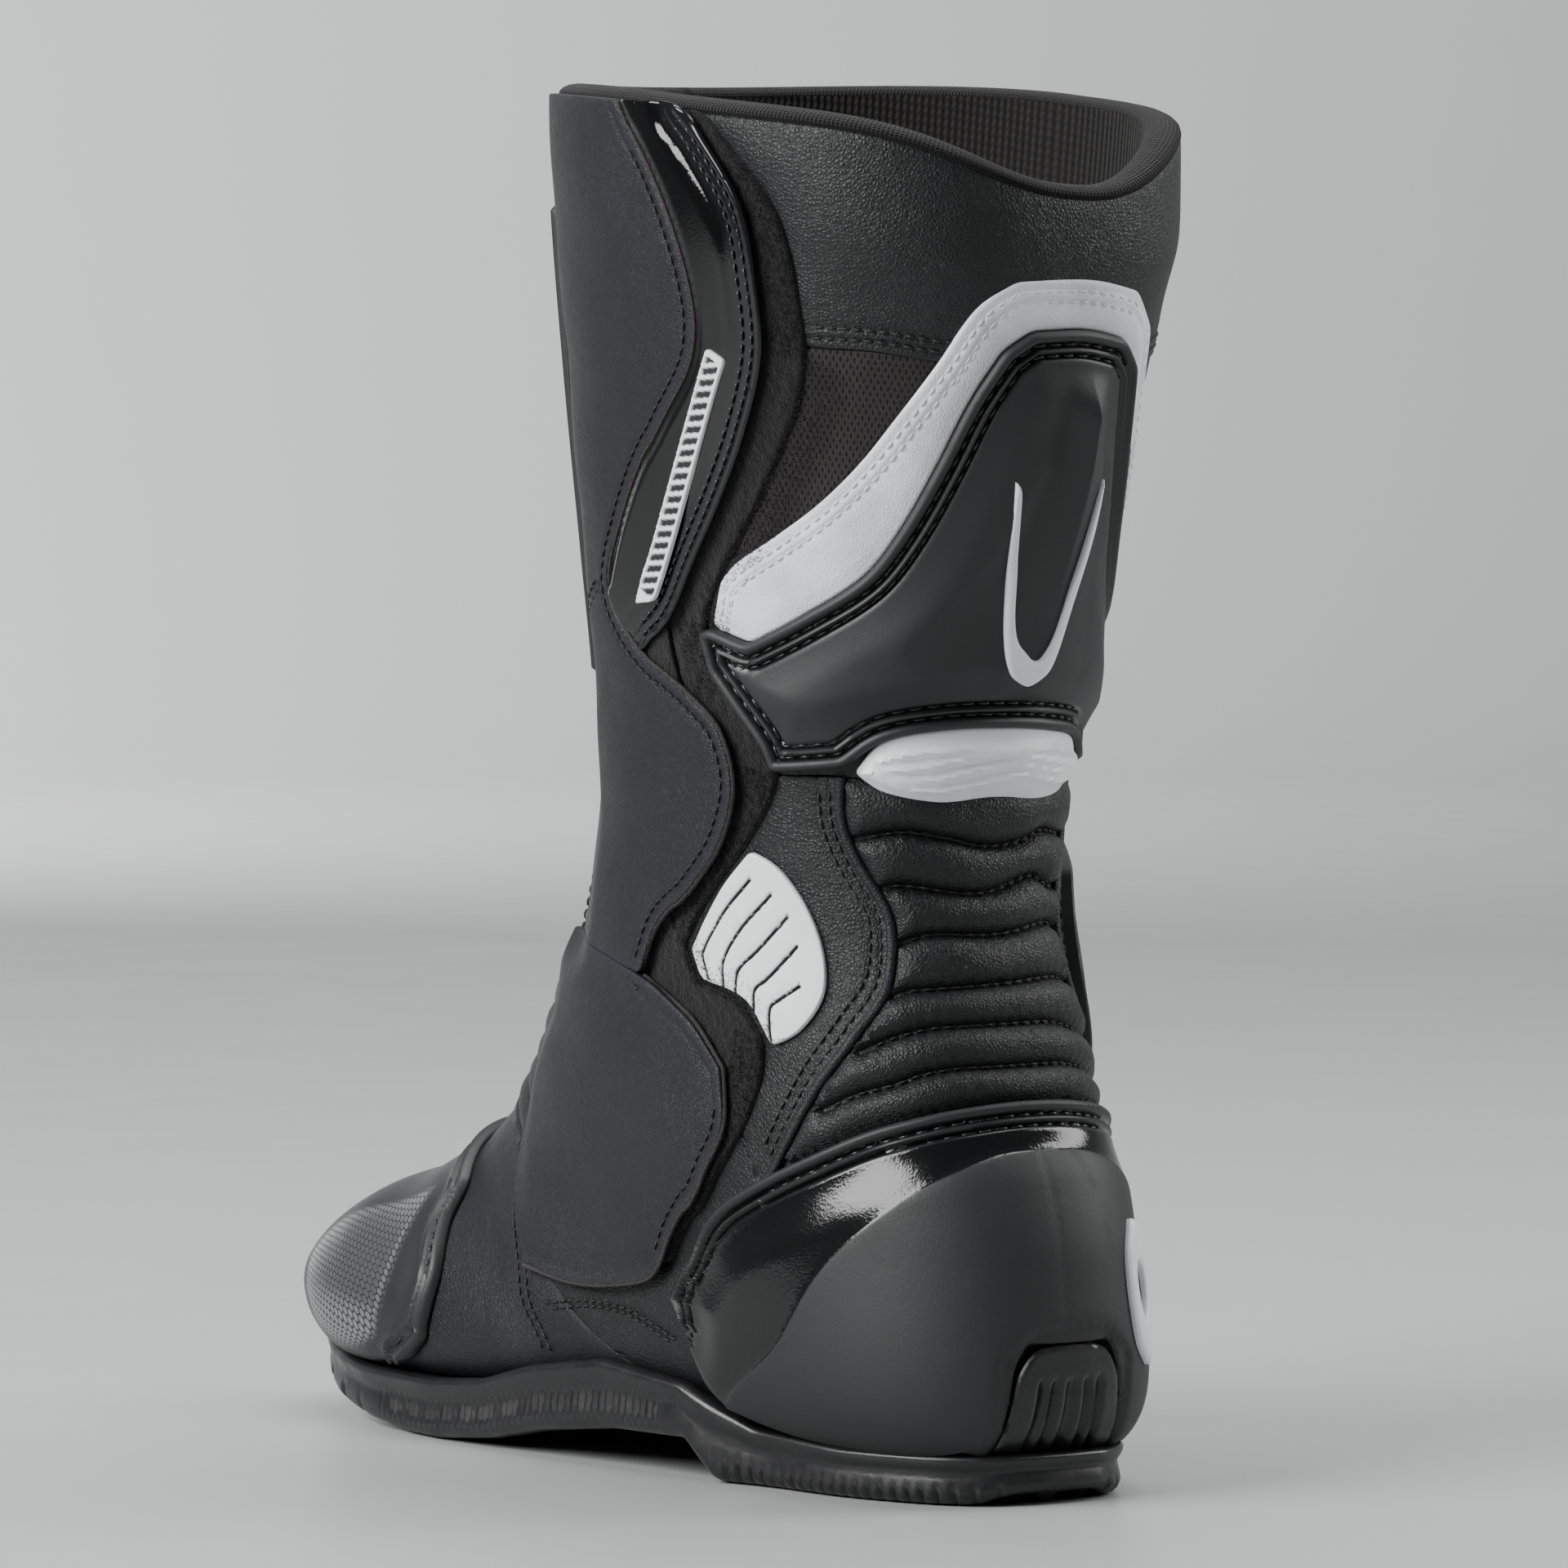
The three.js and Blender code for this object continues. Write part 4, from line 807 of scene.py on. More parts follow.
STRIPE_OUTER = [
    (104, 3.1), (106, 2.86), (110, 2.74), (118, 2.58), (129, 2.34), (138, 2.08), (146, 1.78), (154, 1.46),
    (162, 1.11), (170, 0.95), (184, 0.94), (199, 1.02), (208, 1.25), (213, 1.74), (221, 2.2), (235, 2.55),
    (250, 2.76), (255, 3.06),
]
STRIPE_INNER = [
    (104, 3.16), (114, 3.21), (128, 2.98), (142, 2.71), (149, 2.44), (156, 2.04), (162, 1.65), (168, 1.36),
    (174, 1.24), (184, 1.23), (195, 1.29), (201, 1.45), (206, 2.0), (213, 2.5), (224, 2.9), (240, 3.16),
    (254, 3.2),
]
GUARD_LOWER = [
    (120, 4.0), (140, 3.88), (150, 3.69), (164, 3.6), (180, 3.58), (197, 3.62), (210, 3.7), (220, 3.88),
    (240, 4.0),
]
INLAY = [
    (172, 2.05), (175, 2.1), (177, 2.6), (179, 3.0), (183, 3.15), (186, 3.0), (188, 2.6), (191, 2.1),
    (194, 2.05), (191, 2.7), (188, 3.2), (182, 3.34), (177, 3.2), (174, 2.7),
]
QUARTER_SEAM = [
    (75, 3.02), (61, 3.38), (48, 3.79), (46, 4.3), (40, 5.01), (36, 5.59), (42, 6.48), (35, 7.79), (46, 8.74),
    (60, 9.33), (76, 9.75), (88, 10.03), (109, 10.25),
]
BASE = (-1.95, -0.35)
FOAM_LAYER, LINING_LAYER, BED_LAYER = (-5.8, -2.3), (-8.15, -6.15), (-11.9, -8.5)


def mouth(angle):
    """The station of the shaft's mouth, which dips at the calf and a little at the shin."""
    wrapped = np.mod(angle, 360)
    from_front = np.minimum(wrapped, 360 - wrapped)
    back = 0.37 * np.exp(-(((wrapped - 185) / 31) ** 2))
    return 0.1 + back + 0.35 * np.exp(-((from_front / 85) ** 2))


def mouth_line(start, end, step=7):
    """Places along the shaft's mouth from one angle to another."""
    angles = np.linspace(start, end, max(2, round(abs(end - start) / step) + 1))
    return [(a, s) for a, s in zip(angles.tolist(), mouth(angles).tolist())]


def frame_relief(distance):
    """A moulded border: a rolled rim, then two sunk channels for stitching."""
    return (
        0.7 * hump(distance, 1.3, 1.0) - 1.35 * hump(distance, 3.2, 0.62) + 0.25 * hump(distance, 4.5, 0.5)
        - 1.35 * hump(distance, 5.8, 0.62)
    )


def frame_gloss(distance):
    """1 in the two channels of a moulded border."""
    return np.clip(1.3 * (hump(distance, 3.2, 0.7) + hump(distance, 5.8, 0.7)), 0, 1)


FRAME_CHANNELS = (3.2, 5.8)  # from the border's edge to its two channels, mm
FRAME_STITCH = {"pitch": 4.2, "length": 3.2, "radius": 0.36}
FRAME_ROWS = (0.4, 0.9, 1.4, 1.9, 2.3, 2.7, 3.0, 3.2, 3.5, 3.8, 4.2, 4.6, 5.0, 5.4, 5.8, 6.1, 6.5, 7.0, 7.8)


# ------------------------------------------------------------------------- the insides

def sleeve(name, tops, bottom, depths, material, nodes, closed=False, angle_step=4, station_step=0.12):
    """A tube of lining between two depths, open at the top and open or closed at its end."""
    angles = np.arange(0, 360, angle_step)
    levels = int((bottom - tops(np.array([0.0]))[0]) / station_step)
    count = len(angles)
    rings, uv = [], []
    for depth in depths[::-1]:
        for t in np.linspace(0, 1, levels + 1):
            station = tops(angles) + (bottom - tops(angles)) * t
            ring = np.column_stack([angles, station])
            rings.append(skin(ring, depth))
            uv.append(ring * (0.9, 34) * MM)
    faces = []
    last = levels * count
    shift = (levels + 1) * count
    for level in range(levels):
        for i in range(count):
            a, b = level * count + i, level * count + (i + 1) % count
            faces.append([a, a + count, b + count, b])
            faces.append([shift + v for v in (a, b, b + count, a + count)])
    for i in range(count):
        j = (i + 1) % count
        faces.append([i, j, shift + j, shift + i])
        if not closed:
            faces.append([last + j, last + i, shift + last + i, shift + last + j])
    if closed:
        faces.append([last + i for i in range(count)])
        faces.append([shift + last + i for i in range(count)][::-1])
    obj = make_object(name, np.vstack(rings), faces, material, np.vstack(uv))
    fix_normals(obj)
    return settle(obj, "boot", nodes)


def build_inside():
    """Shank, boards, footbed, linings, stiffeners and foam."""
    shank = [(171, 9.3), (189, 9.3), (189, 10.8), (171, 10.8)]
    panel("shank_bar", shank, BASE, STEEL, nodes=["steel_shank"], pitch=5,
          relief=lambda v: 0.3 * hump(v.angle, 180, 3))
    board_side = [(180, 8.5), (160, 8.62), (146, 9.0), (136, 9.6), (134, 12.0), (138, 13.2), (156, 13.8)]
    panel("insole_sheet", [*board_side, (180, 13.9), *mirrored(board_side[1:])], FOAM_LAYER, BOARD,
          nodes=["insole_board"], pitch=5)
    bed_side = [(180, 8.95), (160, 9.1), (150, 9.6), (146, 12.0), (152, 13.0)]
    bed = panel("footbed_pad", [*bed_side, (180, 13.3), *mirrored(bed_side[1:])], BED_LAYER, KNIT,
                nodes=["footbed"], pitch=3.5, edge=1.2, relief=lambda v: -0.4 * np.exp(-v.rim / 6))
    sleeve("foot_sock", lambda a: np.full(len(a), 6.0), 14.3, LINING_LAYER, KNIT,
           ["foot_lining"], closed=True, angle_step=6, station_step=0.2)
    sleeve("shaft_knit", lambda a: mouth(a) - 0.02, 5.99, LINING_LAYER, KNIT,
           ["shaft_lining"], angle_step=4, station_step=0.15)
    cup_side = [(180, 6.3), (150, 6.45), (128, 7.0), (122, 7.6), (128, 8.3), (146, 8.3), (165, 8.1)]
    puff = [(-85, 12.6), (-40, 12.1), (0, 12.0), (40, 12.1), (85, 12.6), (100, 13.9), (-100, 13.9)]
    ankle_pad = [(98, 4.3), (140, 4.3), (150, 5.0), (140, 5.8), (105, 6.3), (92, 5.8), (90, 5.0)]
    cup = [*cup_side, (180, 8.05), *mirrored(cup_side[1:])]
    for name, outline, node in (("heel_cup", cup, "heel_stiffener"), ("toe_cup", puff, "toe_puff")):
        panel(name, outline, FOAM_LAYER, BOARD, nodes=[node], pitch=5, edge=1.0)
    pads = (
        ("ankle_cushion_inner", ankle_pad, "ankle_pad_medial"),
        ("ankle_cushion_outer", mirrored(ankle_pad), "ankle_pad_lateral"),
        ("shin_cushion", [(-58, 0.9), (58, 0.9), (50, 4.4), (-50, 4.4)], "shin_foam"),
        ("calf_cushion", [(112, 0.8), (248, 0.8), (240, 3.8), (120, 3.8)], "calf_foam"),
    )
    for name, outline, node in pads:
        pad = panel(name, outline, FOAM_LAYER, FOAM_CELL, nodes=[node], pitch=5, edge=2.2,
                    relief=lambda v: -0.5 * np.exp(-v.rim / 8))


def build_mouth():
    """The rolled knitted edge round the mouth of the shaft."""
    angles = np.arange(0, 360, 1.5)
    line = np.column_stack([angles, mouth(angles) - 0.02])
    rope("mouth_binding", line, -3.9, (4.3, 2.3), BINDING, nodes=["collar_binding"], sides=16)


# ---------------------------------------------------------------------------- the sole

# Sections from heel to toe: y, inner and outer half width, underside's height, rim's top
SOLE = np.array([
    (-137, 11, 11, 2.4, 12), (-132, 20, 20, 0, 12), (-122, 28, 28, 0, 12), (-100, 36, 36, 0, 12),
    (-72, 40, 42, 0, 14), (-60, 44, 47, 0, 19), (-50, 46, 50, 9.4, 23), (-20, 48, 52, 9, 26),
    (8, 50, 55, 6, 22), (28, 50, 55, 2.2, 17), (50, 50, 55, 0, 15), (64, 49, 54, 0, 15),
    (84, 47, 51, 1.8, 15), (104, 42, 44, 4.8, 17), (120, 34, 35, 9.6, 20), (134, 23, 23, 14, 24),
    (143, 10, 10, 17.5, 27),
])


def sole_outline():
    """The sole's plan, as a closed line of x, y in mm in the chart's own frame."""
    side_in = [(-w, y) for y, w in zip(SOLE[:, 0], SOLE[:, 1])]
    side_out = [(w, y) for y, w in zip(SOLE[:, 0], SOLE[:, 2])]
    points = np.array(side_in + side_out[::-1], float)
    line = []
    count = len(points)
    for i in range(count):
        before, here, after, beyond = (points[(i + k) % count] for k in (-1, 0, 1, 2))
        reach = np.linalg.norm(after - here)
        start = (after - before) / (np.linalg.norm(after - here) + np.linalg.norm(here - before)) * reach
        end = (beyond - here) / (np.linalg.norm(beyond - after) + reach) * reach
        t = (np.arange(max(2, round(reach / 0.7))) / max(2, round(reach / 0.7)))[:, None]
        line.append((2 * t**3 - 3 * t**2 + 1) * here + (t**3 - 2 * t**2 + t) * start
                    + (3 * t**2 - 2 * t**3) * after + (t**3 - t**2) * end)
    return np.vstack(line)


def tread(x, y):
    """How deep the tread is cut at a point of the underside, in mm."""
    wave = np.abs(x) * 0.5 + y
    bars = np.clip(3 * np.sin(wave * 2 * math.pi / 11) - 1.6, 0, 1)
    spine = np.clip(1.5 - np.abs(x) / 2.5, 0, 1)
    channel = hump(np.abs(x), 24, 1.6) * ((y > 15) & (y < 110))
    arch = (y > -52) & (y < 15)
    return np.where(arch, 0.0, 1.8 * np.clip(bars * (1 - spine) + channel, 0, 1))


def build_sole():
    """The rubber sole with ribs, nicks and tread, hollowed out by the foot's own surface."""
    plan = sole_outline()
    count = len(plan)
    run = unit(np.roll(plan, -1, 0) - np.roll(plan, 1, 0))
    outward = np.column_stack([-run[:, 1], run[:, 0]])
    outward *= np.sign(np.sum(outward * (plan - plan.mean(0)), axis=1).mean())
    low = np.interp(plan[:, 1], SOLE[:, 0], SOLE[:, 3])
    high = np.interp(plan[:, 1], SOLE[:, 0], SOLE[:, 4])
    for _ in range(6):
        low = (np.roll(low, 1) + 2 * low + np.roll(low, -1)) / 4
        high = (np.roll(high, 1) + 2 * high + np.roll(high, -1)) / 4
    y = plan[:, 1]
    inner_side = plan[:, 0] < 0
    ribbed = ramp(y, -46, -38) * (1 - ramp(y, 68, 80))
    heel = 1 - ramp(y, -66, -58)
    toe = ramp(y, 84, 92)
    ribs = ribbed * (0.5 + 0.5 * np.cos(y * 2 * math.pi / 2.6))
    nicks = toe * np.clip(3 * np.sin(y * 2 * math.pi / 12 + np.where(inner_side, 0, 2)) - 2, 0, 1)
    under = heel * np.clip(2.5 * np.sin(y * 2 * math.pi / 3.4) - 1.2, 0, 1)
    # outward step in mm, share of the wall's height, and how far ribs and nicks bite
    profile = [
        (-5.0, 0.0, 0, 0, 0), (-3.0, 0.02, 0, 0.5, 0), (-1.4, 0.06, 0, 1, 0.6), (-0.5, 0.13, 0, 1, 1),
        (0.0, 0.22, 0.25, 1, 1), (0.1, 0.28, 0.8, 0.8, 0.7), (0.0, 0.35, 1, 0.4, 0.3), (-0.2, 0.44, 1, 0, 0),
        (-0.4, 0.52, 1, 0, 0), (-0.6, 0.58, 0.7, 0, 0), (-0.6, 0.63, 0.15, 0, 0), (-0.4, 0.68, 0, 0, 0),
        (0.1, 0.74, 0, 0, 0), (0.6, 0.82, 0, 0, 0), (0.8, 0.89, 0, 0, 0), (0.5, 0.95, 0, 0, 0),
        (-0.3, 0.99, 0, 0, 0), (-1.5, 1.0, 0, 0, 0), (-4.5, 0.97, 0, 0, 0),
    ]
    rows = []
    for step, share, rib, nick, groove in profile:
        offset = step - 0.75 * rib * ribs - 1.3 * nick * nicks - 0.9 * groove * under
        rows.append(np.column_stack([plan + outward * offset[:, None], low + (high - low) * share]))
    faces = bands(len(rows), count)
    points = list(rows)
    start = len(rows) * count
    for level, pitch in ((0, 1.6), (len(rows) - 1, 6)):
        ring = rows[level][:, :2]
        tree = tree_of(np.column_stack([ring, np.zeros(count)]))
        grid = grid_points(ring, [], np.ones(2), pitch)
        gap = np.array([tree.find((gx, gy, 0))[2] for gx, gy in grid])
        flat, triangles, spot = triangulate(ring, [], grid[gap > pitch * 0.5], np.ones(2))
        numbers = np.zeros(len(flat), int)
        numbers[spot] = level * count + np.arange(count)
        free = np.setdiff1d(np.arange(len(flat)), spot)
        numbers[free] = start + np.arange(len(free))
        x, fy = flat[free].T
        found = [tree.find((a, b, 0)) for a, b in zip(x, fy)]
        if level == 0:
            order = np.argsort(y[inner_side])
            z = np.interp(fy, y[inner_side][order], low[inner_side][order])
            z = z + tread(x, fy) * ramp(np.array([hit[2] for hit in found]), 0, 2.5)
        else:
            z = np.array([rows[level][hit[1], 2] for hit in found])
        points.append(np.column_stack([x, fy, z]))
        faces += numbers[triangles].tolist()
        start += len(free)
    sole = make_object("sole_unit", np.vstack(points) + SHIFT, faces, RUBBER, sharp=50)
    fix_normals(sole)

    angles = np.arange(0, 360, 5)
    stations = np.concatenate([np.arange(5.9, 14.9, 0.15), [15]])
    last_points = np.vstack([
        skin(np.column_stack([angles, np.full(len(angles), s)]), 0.0) for s in stations
    ])
    ring_size = len(angles)
    last_faces = bands(len(stations), ring_size)
    last_faces.append(list(range(ring_size)))
    last_faces.append([(len(stations) - 1) * ring_size + i for i in range(ring_size)])
    last = make_object("last", last_points, last_faces, RUBBER)
    fix_normals(last)
    cut = sole.modifiers.new("hollow", "BOOLEAN")
    cut.operation, cut.solver, cut.object = "DIFFERENCE", "MANIFOLD", last
    apply_modifiers(sole)
    bpy.data.objects.remove(last)
    sole.data.set_sharp_from_angle(angle=math.radians(50))
    settle(sole, "boot", ["outsole"])
    build_heel_pad()


def apply_modifiers(obj):
    """Leaves the piece as its modifiers make it, with none on it."""
    graph = bpy.context.evaluated_depsgraph_get()
    mesh = bpy.data.meshes.new_from_object(obj.evaluated_get(graph))
    obj.modifiers.clear()
    obj.data = mesh


def build_heel_pad():
    """The ribbed rubber pad up the back of the heel."""
    outline = [
        (167, 7.62), (169, 7.5), (173, 7.42), (187, 7.42), (191, 7.5), (193, 7.62), (194.5, 8.42), (165.5, 8.42),
    ]

    def relief(v):
        across = (v.angle - 180) * 0.8
        stripes = sum(hump(across, middle, 0.62) for middle in (-5.2, -2.6, 0, 2.6, 5.2))
        cut = 1.5 * stripes * ramp(v.station, 7.56, 7.64)
        return 0.8 * np.exp(-v.rim / 2.0) - cut + 1.0 * ramp(v.station, 7.9, 8.4)

    seams = [
        ([(180 + turn, 7.55), (180 + turn, 8.42)], (-0.9, -0.5, 0.0, 0.5, 0.9))
        for turn in (-6.5, -3.25, 0, 3.25, 6.5)
    ]
    panel("heel_pad", outline, (-0.3, 3.6), RUBBER, relief=relief, pitch=0.75, edge=1.4,
          rows=(2.0, 2.8), lines=seams, step=0.8)


# ------------------------------------------------------------------------- the leathers

def seam_dent(distance):
    """The trough that a pair of stitch rows pulls into leather, 2.5 and 5 mm from its edge."""
    rows = -0.28 * hump(distance, 2.5, 0.7) - 0.28 * hump(distance, 5.0, 0.7)
    return rows + 0.12 * hump(distance, 3.75, 0.8)


SEAM_ROWS = (1.2, 1.9, 2.5, 3.1, 3.8, 4.4, 5.0, 5.6, 6.5)


def lap(v, line, rise=0.9, reach=9):
    """Leather lifted along a line where it laps over its neighbour, with two rows of stitching."""
    far = v.to(line)
    return rise * np.exp(-far / reach) + seam_dent(far)


def build_shaft(black):
    """The leathers of the shaft, its loop band and its mesh."""
    front_edge = [(CHANNEL_FRONT, CHANNEL_BOTTOM), (76, 5.06), (76, ANKLE_FRONT), (-66, ANKLE_FRONT)]

    def soft(v):
        return 0.35 * ripple(v.points, 55) - 0.3 * np.exp(-v.rim / 1.5)

    def tufted(v):
        return 0.25 * ripple(v.points, 5) + 0.2 * ripple(v.points, 2.3)

    panel("front_leather", [*mouth_line(-66, CHANNEL_FRONT), *front_edge], BASE, SMOOTH,
          nodes=["front_panel"], relief=soft, pitch=3)
    loop_outline = [
        *mouth_line(CHANNEL_REAR, 103), *LOOP_UPPER, *LOOP_ANKLE, *LOOP_LOWER,
        (76, 8.1), (76, 5.06), (CHANNEL_REAR, CHANNEL_BOTTOM),
    ]
    panel("loop_band", loop_outline, (-1.95, 0.9), PILE, nodes=["loop_panel"],
          relief=tufted, pitch=1.9, edge=0.9, rows=(1.8,))

    collar_low = [(OUTER_FRONT, 1.47), (157, 1.45), (140, 1.42), (125, 1.44)]
    collar = [*mouth_line(103, OUTER_FRONT), *collar_low, (122, 0.95), (118, 0.65), (110, 0.39)]

    def collar_relief(v):
        low = v.to(collar_low)
        swell = 2.2 * (1 - np.exp(-v.rim / 16)) * ramp(low, 6, 30)
        return swell + 0.35 * ripple(v.points, 38) + 0.35 + seam_dent(low)

    pad = panel("collar_leather", collar, BASE, GRAIN, nodes=["shaft_collar_panel"],
                relief=collar_relief, pitch=2.2, edge=0.8,
                lines=[(collar_low, (1.9, 2.5, 3.1, 3.8, 4.4, 5.0, 5.6))])
    collar_line = smooth_line(collar_low)
    for distance in (2.5, 5.0):
        black.along(beside(collar_line, distance), 0.0)

    mesh_rear = [(157, 1.43), (147, 1.78), (139, 2.08), (130, 2.34), (119, 2.59), (108, 2.72)]
    mesh = [(125, 1.44), (140, 1.42), *mesh_rear, (114, 2.4), (120, 2.05), (124, 1.75)]

    panel("spacer_mesh", mesh, BASE, MESH, nodes=["mesh_panel"], pitch=1.6,
          relief=lambda v: 0.2 * ripple(v.points, 12) - 0.25)
    rear = [
        *mesh_rear, (104, 2.9), (101, 3.16), (104, 3.45), (112, 3.68), (118, 3.86), (120, 4.03),
        (138, GUARD_BOTTOM), (222, GUARD_BOTTOM), (OUTER_BACK, GUARD_BOTTOM), (OUTER_BACK, COLLAR_SEAM),
    ]
    panel("calf_leather", rear, BASE, GRAIN, nodes=["rear_shaft_panel"], pitch=4)
    side = [
        (OUTER_BACK, COLLAR_SEAM), (OUTER_FRONT, COLLAR_SEAM), (OUTER_FRONT, GUARD_BOTTOM),
        (OUTER_BACK, GUARD_BOTTOM),
    ]
    panel("outer_shaft_leather", side, BASE, GRAIN, nodes=["lateral_shaft_panel"],
          relief=lambda v: 0.5 * ripple(v.points, 45) - 0.2 * np.exp(-v.rim / 1.5), pitch=2.6)


OUTER_SEAMS = [
    [(OUTER_FRONT, 1.6), (OUTER_FRONT, 3.9)], [(262, GUARD_BOTTOM), (OUTER_FRONT, GUARD_BOTTOM)],
    [(OUTER_FRONT, 4.05), (OUTER_FRONT, 6.0)], [(258, 6.9), (272, 6.6), (OUTER_FRONT, ANKLE_FRONT)],
    [(274, 9.65), (313, 9.0), (313, 6.1)],
]
ACHILLES_SEAMS = [
    [(140, 4.38), (155, 4.28), (168, 4.30), (180, 4.36), (191, 4.34), (200, 4.29), (220, 4.4)],
    [(145, 4.72), (154, 4.65), (178, 4.68), (195, 4.59), (206, 4.7), (215, 4.72)],
    [(150, 5.06), (161, 4.97), (181, 4.96), (202, 4.93), (210, 5.02)],
    [(146, 5.41), (154, 5.34), (178, 5.28), (201, 5.28), (214, 5.38)],
    [(134, 5.82), (146, 5.66), (160, 5.56), (189, 5.53), (204, 5.6), (226, 5.82)],
    [(122, 6.28), (132, 6.1), (144, 5.96), (152, 5.87), (166, 5.80), (194, 5.80), (214, 5.94), (238, 6.3)],
]


def build_ankle(black):
    """Both ankle leathers, the stitched bellows, the white window and the outer brace."""
    ankle = [
        (120, 4.03), *BELLOWS_FRONT, (105, 7.0), (101, 6.7), (107, 6.2), (108, 5.95), (103, 5.76),
        *LOOP_ANKLE[::-1][:-1],
    ]
    outer_bellows = mirrored(BELLOWS_FRONT)
    outer_ankle = [
        *outer_bellows, (OUTER_BACK, GUARD_BOTTOM), (OUTER_FRONT, GUARD_BOTTOM), (OUTER_FRONT, ANKLE_FRONT),
        (272, 6.6), (255, 7.0),
    ]
    offsets = [-distance for distance in SEAM_ROWS] + list(SEAM_ROWS)
    sides = (("inner_ankle_leather", ankle, BELLOWS_FRONT, "medial_ankle_panel"),
             ("outer_ankle_leather", outer_ankle, outer_bellows, "lateral_ankle_panel"))
    for name, outline, bellows_line, node in sides:
        panel(name, outline, BASE, GRAIN, nodes=[node], pitch=2.2,
              relief=lambda v, line=bellows_line: lap(v, line, 0.8, 6) + 0.2 * ripple(v.points, 30),
              lines=[(bellows_line, offsets)])
    for side, line in (("inner", BELLOWS_FRONT), ("outer", outer_bellows)):
        fine = smooth_line(line)
        sign = away_from(fine, (180.0, 5.2), 3)
        for distance in (2.5, 5.0):
            black.along(beside(fine, sign * distance)[2:-2], 0.15)
        rope(f"bellows_piping_{side}", smooth_line(line, step=1.5), -0.1, (1.3, 1.2), SMOOTH,
             closed=False)

    outline = [*BELLOWS_FRONT, *HEEL_TOP, *mirrored(HEEL_TOP)[1:], *outer_bellows]

    def rolls(v):
        seam = np.min([v.to(line) for line in ACHILLES_SEAMS], axis=0)
        border = np.minimum(seam, v.rim * 0.75)
        full = np.clip((border - 0.7) / 4.8, 0, 1)
        roll = 3.2 * np.sqrt(1 - (1 - full) ** 2)
        pucker = np.sin(v.angle * 2 * math.pi / 4.2 + 2 * np.sin(v.station * 9)) * np.exp(-seam / 2.2)
        return roll - 0.5 + 0.22 * pucker * np.clip(seam / 0.6, 0, 1) + 0.3 * ripple(v.points, 17)

    bellows = panel("achilles_rolls", outline, BASE, GRAIN, nodes=["achilles_accordion"],
                    relief=rolls, pitch=1.5, edge=0.6,
                    lines=[(line, (-1.4, -0.8, -0.35, 0.0, 0.35, 0.8, 1.4)) for line in ACHILLES_SEAMS])
    for line in ACHILLES_SEAMS:
        black.along(smooth_line(line)[2:-2], -0.5, pitch=3.3)

    slits = [
        [(110, 4.84), (102, 5.11), (96, 5.38), (94, 5.50), (95, 5.66)],
        [(116, 4.90), (106, 5.21), (100, 5.48), (99, 5.69)],
        [(120, 5.03), (110, 5.33), (104, 5.51), (102, 5.70)],
        [(122, 5.21), (112, 5.50), (108, 5.61), (107, 5.76)],
        [(121, 5.48), (115, 5.61), (112, 5.69), (111, 5.84), (111, 5.92)],
    ]
    flex = [
        (111, 4.62), (102, 4.93), (95, 5.26), (91, 5.5), (93, 5.68), (105, 5.7), (111, 5.95),
        (119, 5.78), (127, 5.5), (129, 5.28), (128, 5.06), (124, 4.84), (118, 4.68),
    ]

    def cut(v):
        return np.min([v.to(slit) for slit in slits], axis=0)

    panel("flex_window", flex, (0, 1.3), SHELL_WHITE, nodes=["medial_flex_panel"], pitch=1.6,
          relief=lambda v: -0.9 * hump(cut(v), 0, 0.42) + 0.25 * ramp(v.rim, 0, 5), edge=0.5,
          masks={"dark": lambda v: ramp(-cut(v), -0.62, -0.38)},
          lines=[(slit, (-0.7, -0.5, -0.3, 0.0, 0.3, 0.5, 0.7)) for slit in slits])

    def brace_relief(v):
        return 1.8 * ramp(v.rim, 2, 12) + frame_relief(v.rim + 1.6) * 0.6

    brace = [
        (228, 4.7), (250, 4.5), (276, 4.8), (286, 5.3), (270, 5.9), (246, 6.3), (232, 5.9), (224, 5.3),
    ]
    panel("outer_ankle_brace", brace, (0, 3.4), MATTE, nodes=["lateral_ankle_brace"],
          relief=brace_relief, pitch=2, edge=1.0, rows=FRAME_ROWS[:10])


def build_outer_stitching(black):
    """Pairs of stitch rows beside the seams of the outer side."""
    for seam in OUTER_SEAMS:
        line = smooth_line(seam, corner=30)
        for distance in (2.0, 4.4):
            black.along(beside(line, distance), -0.2)


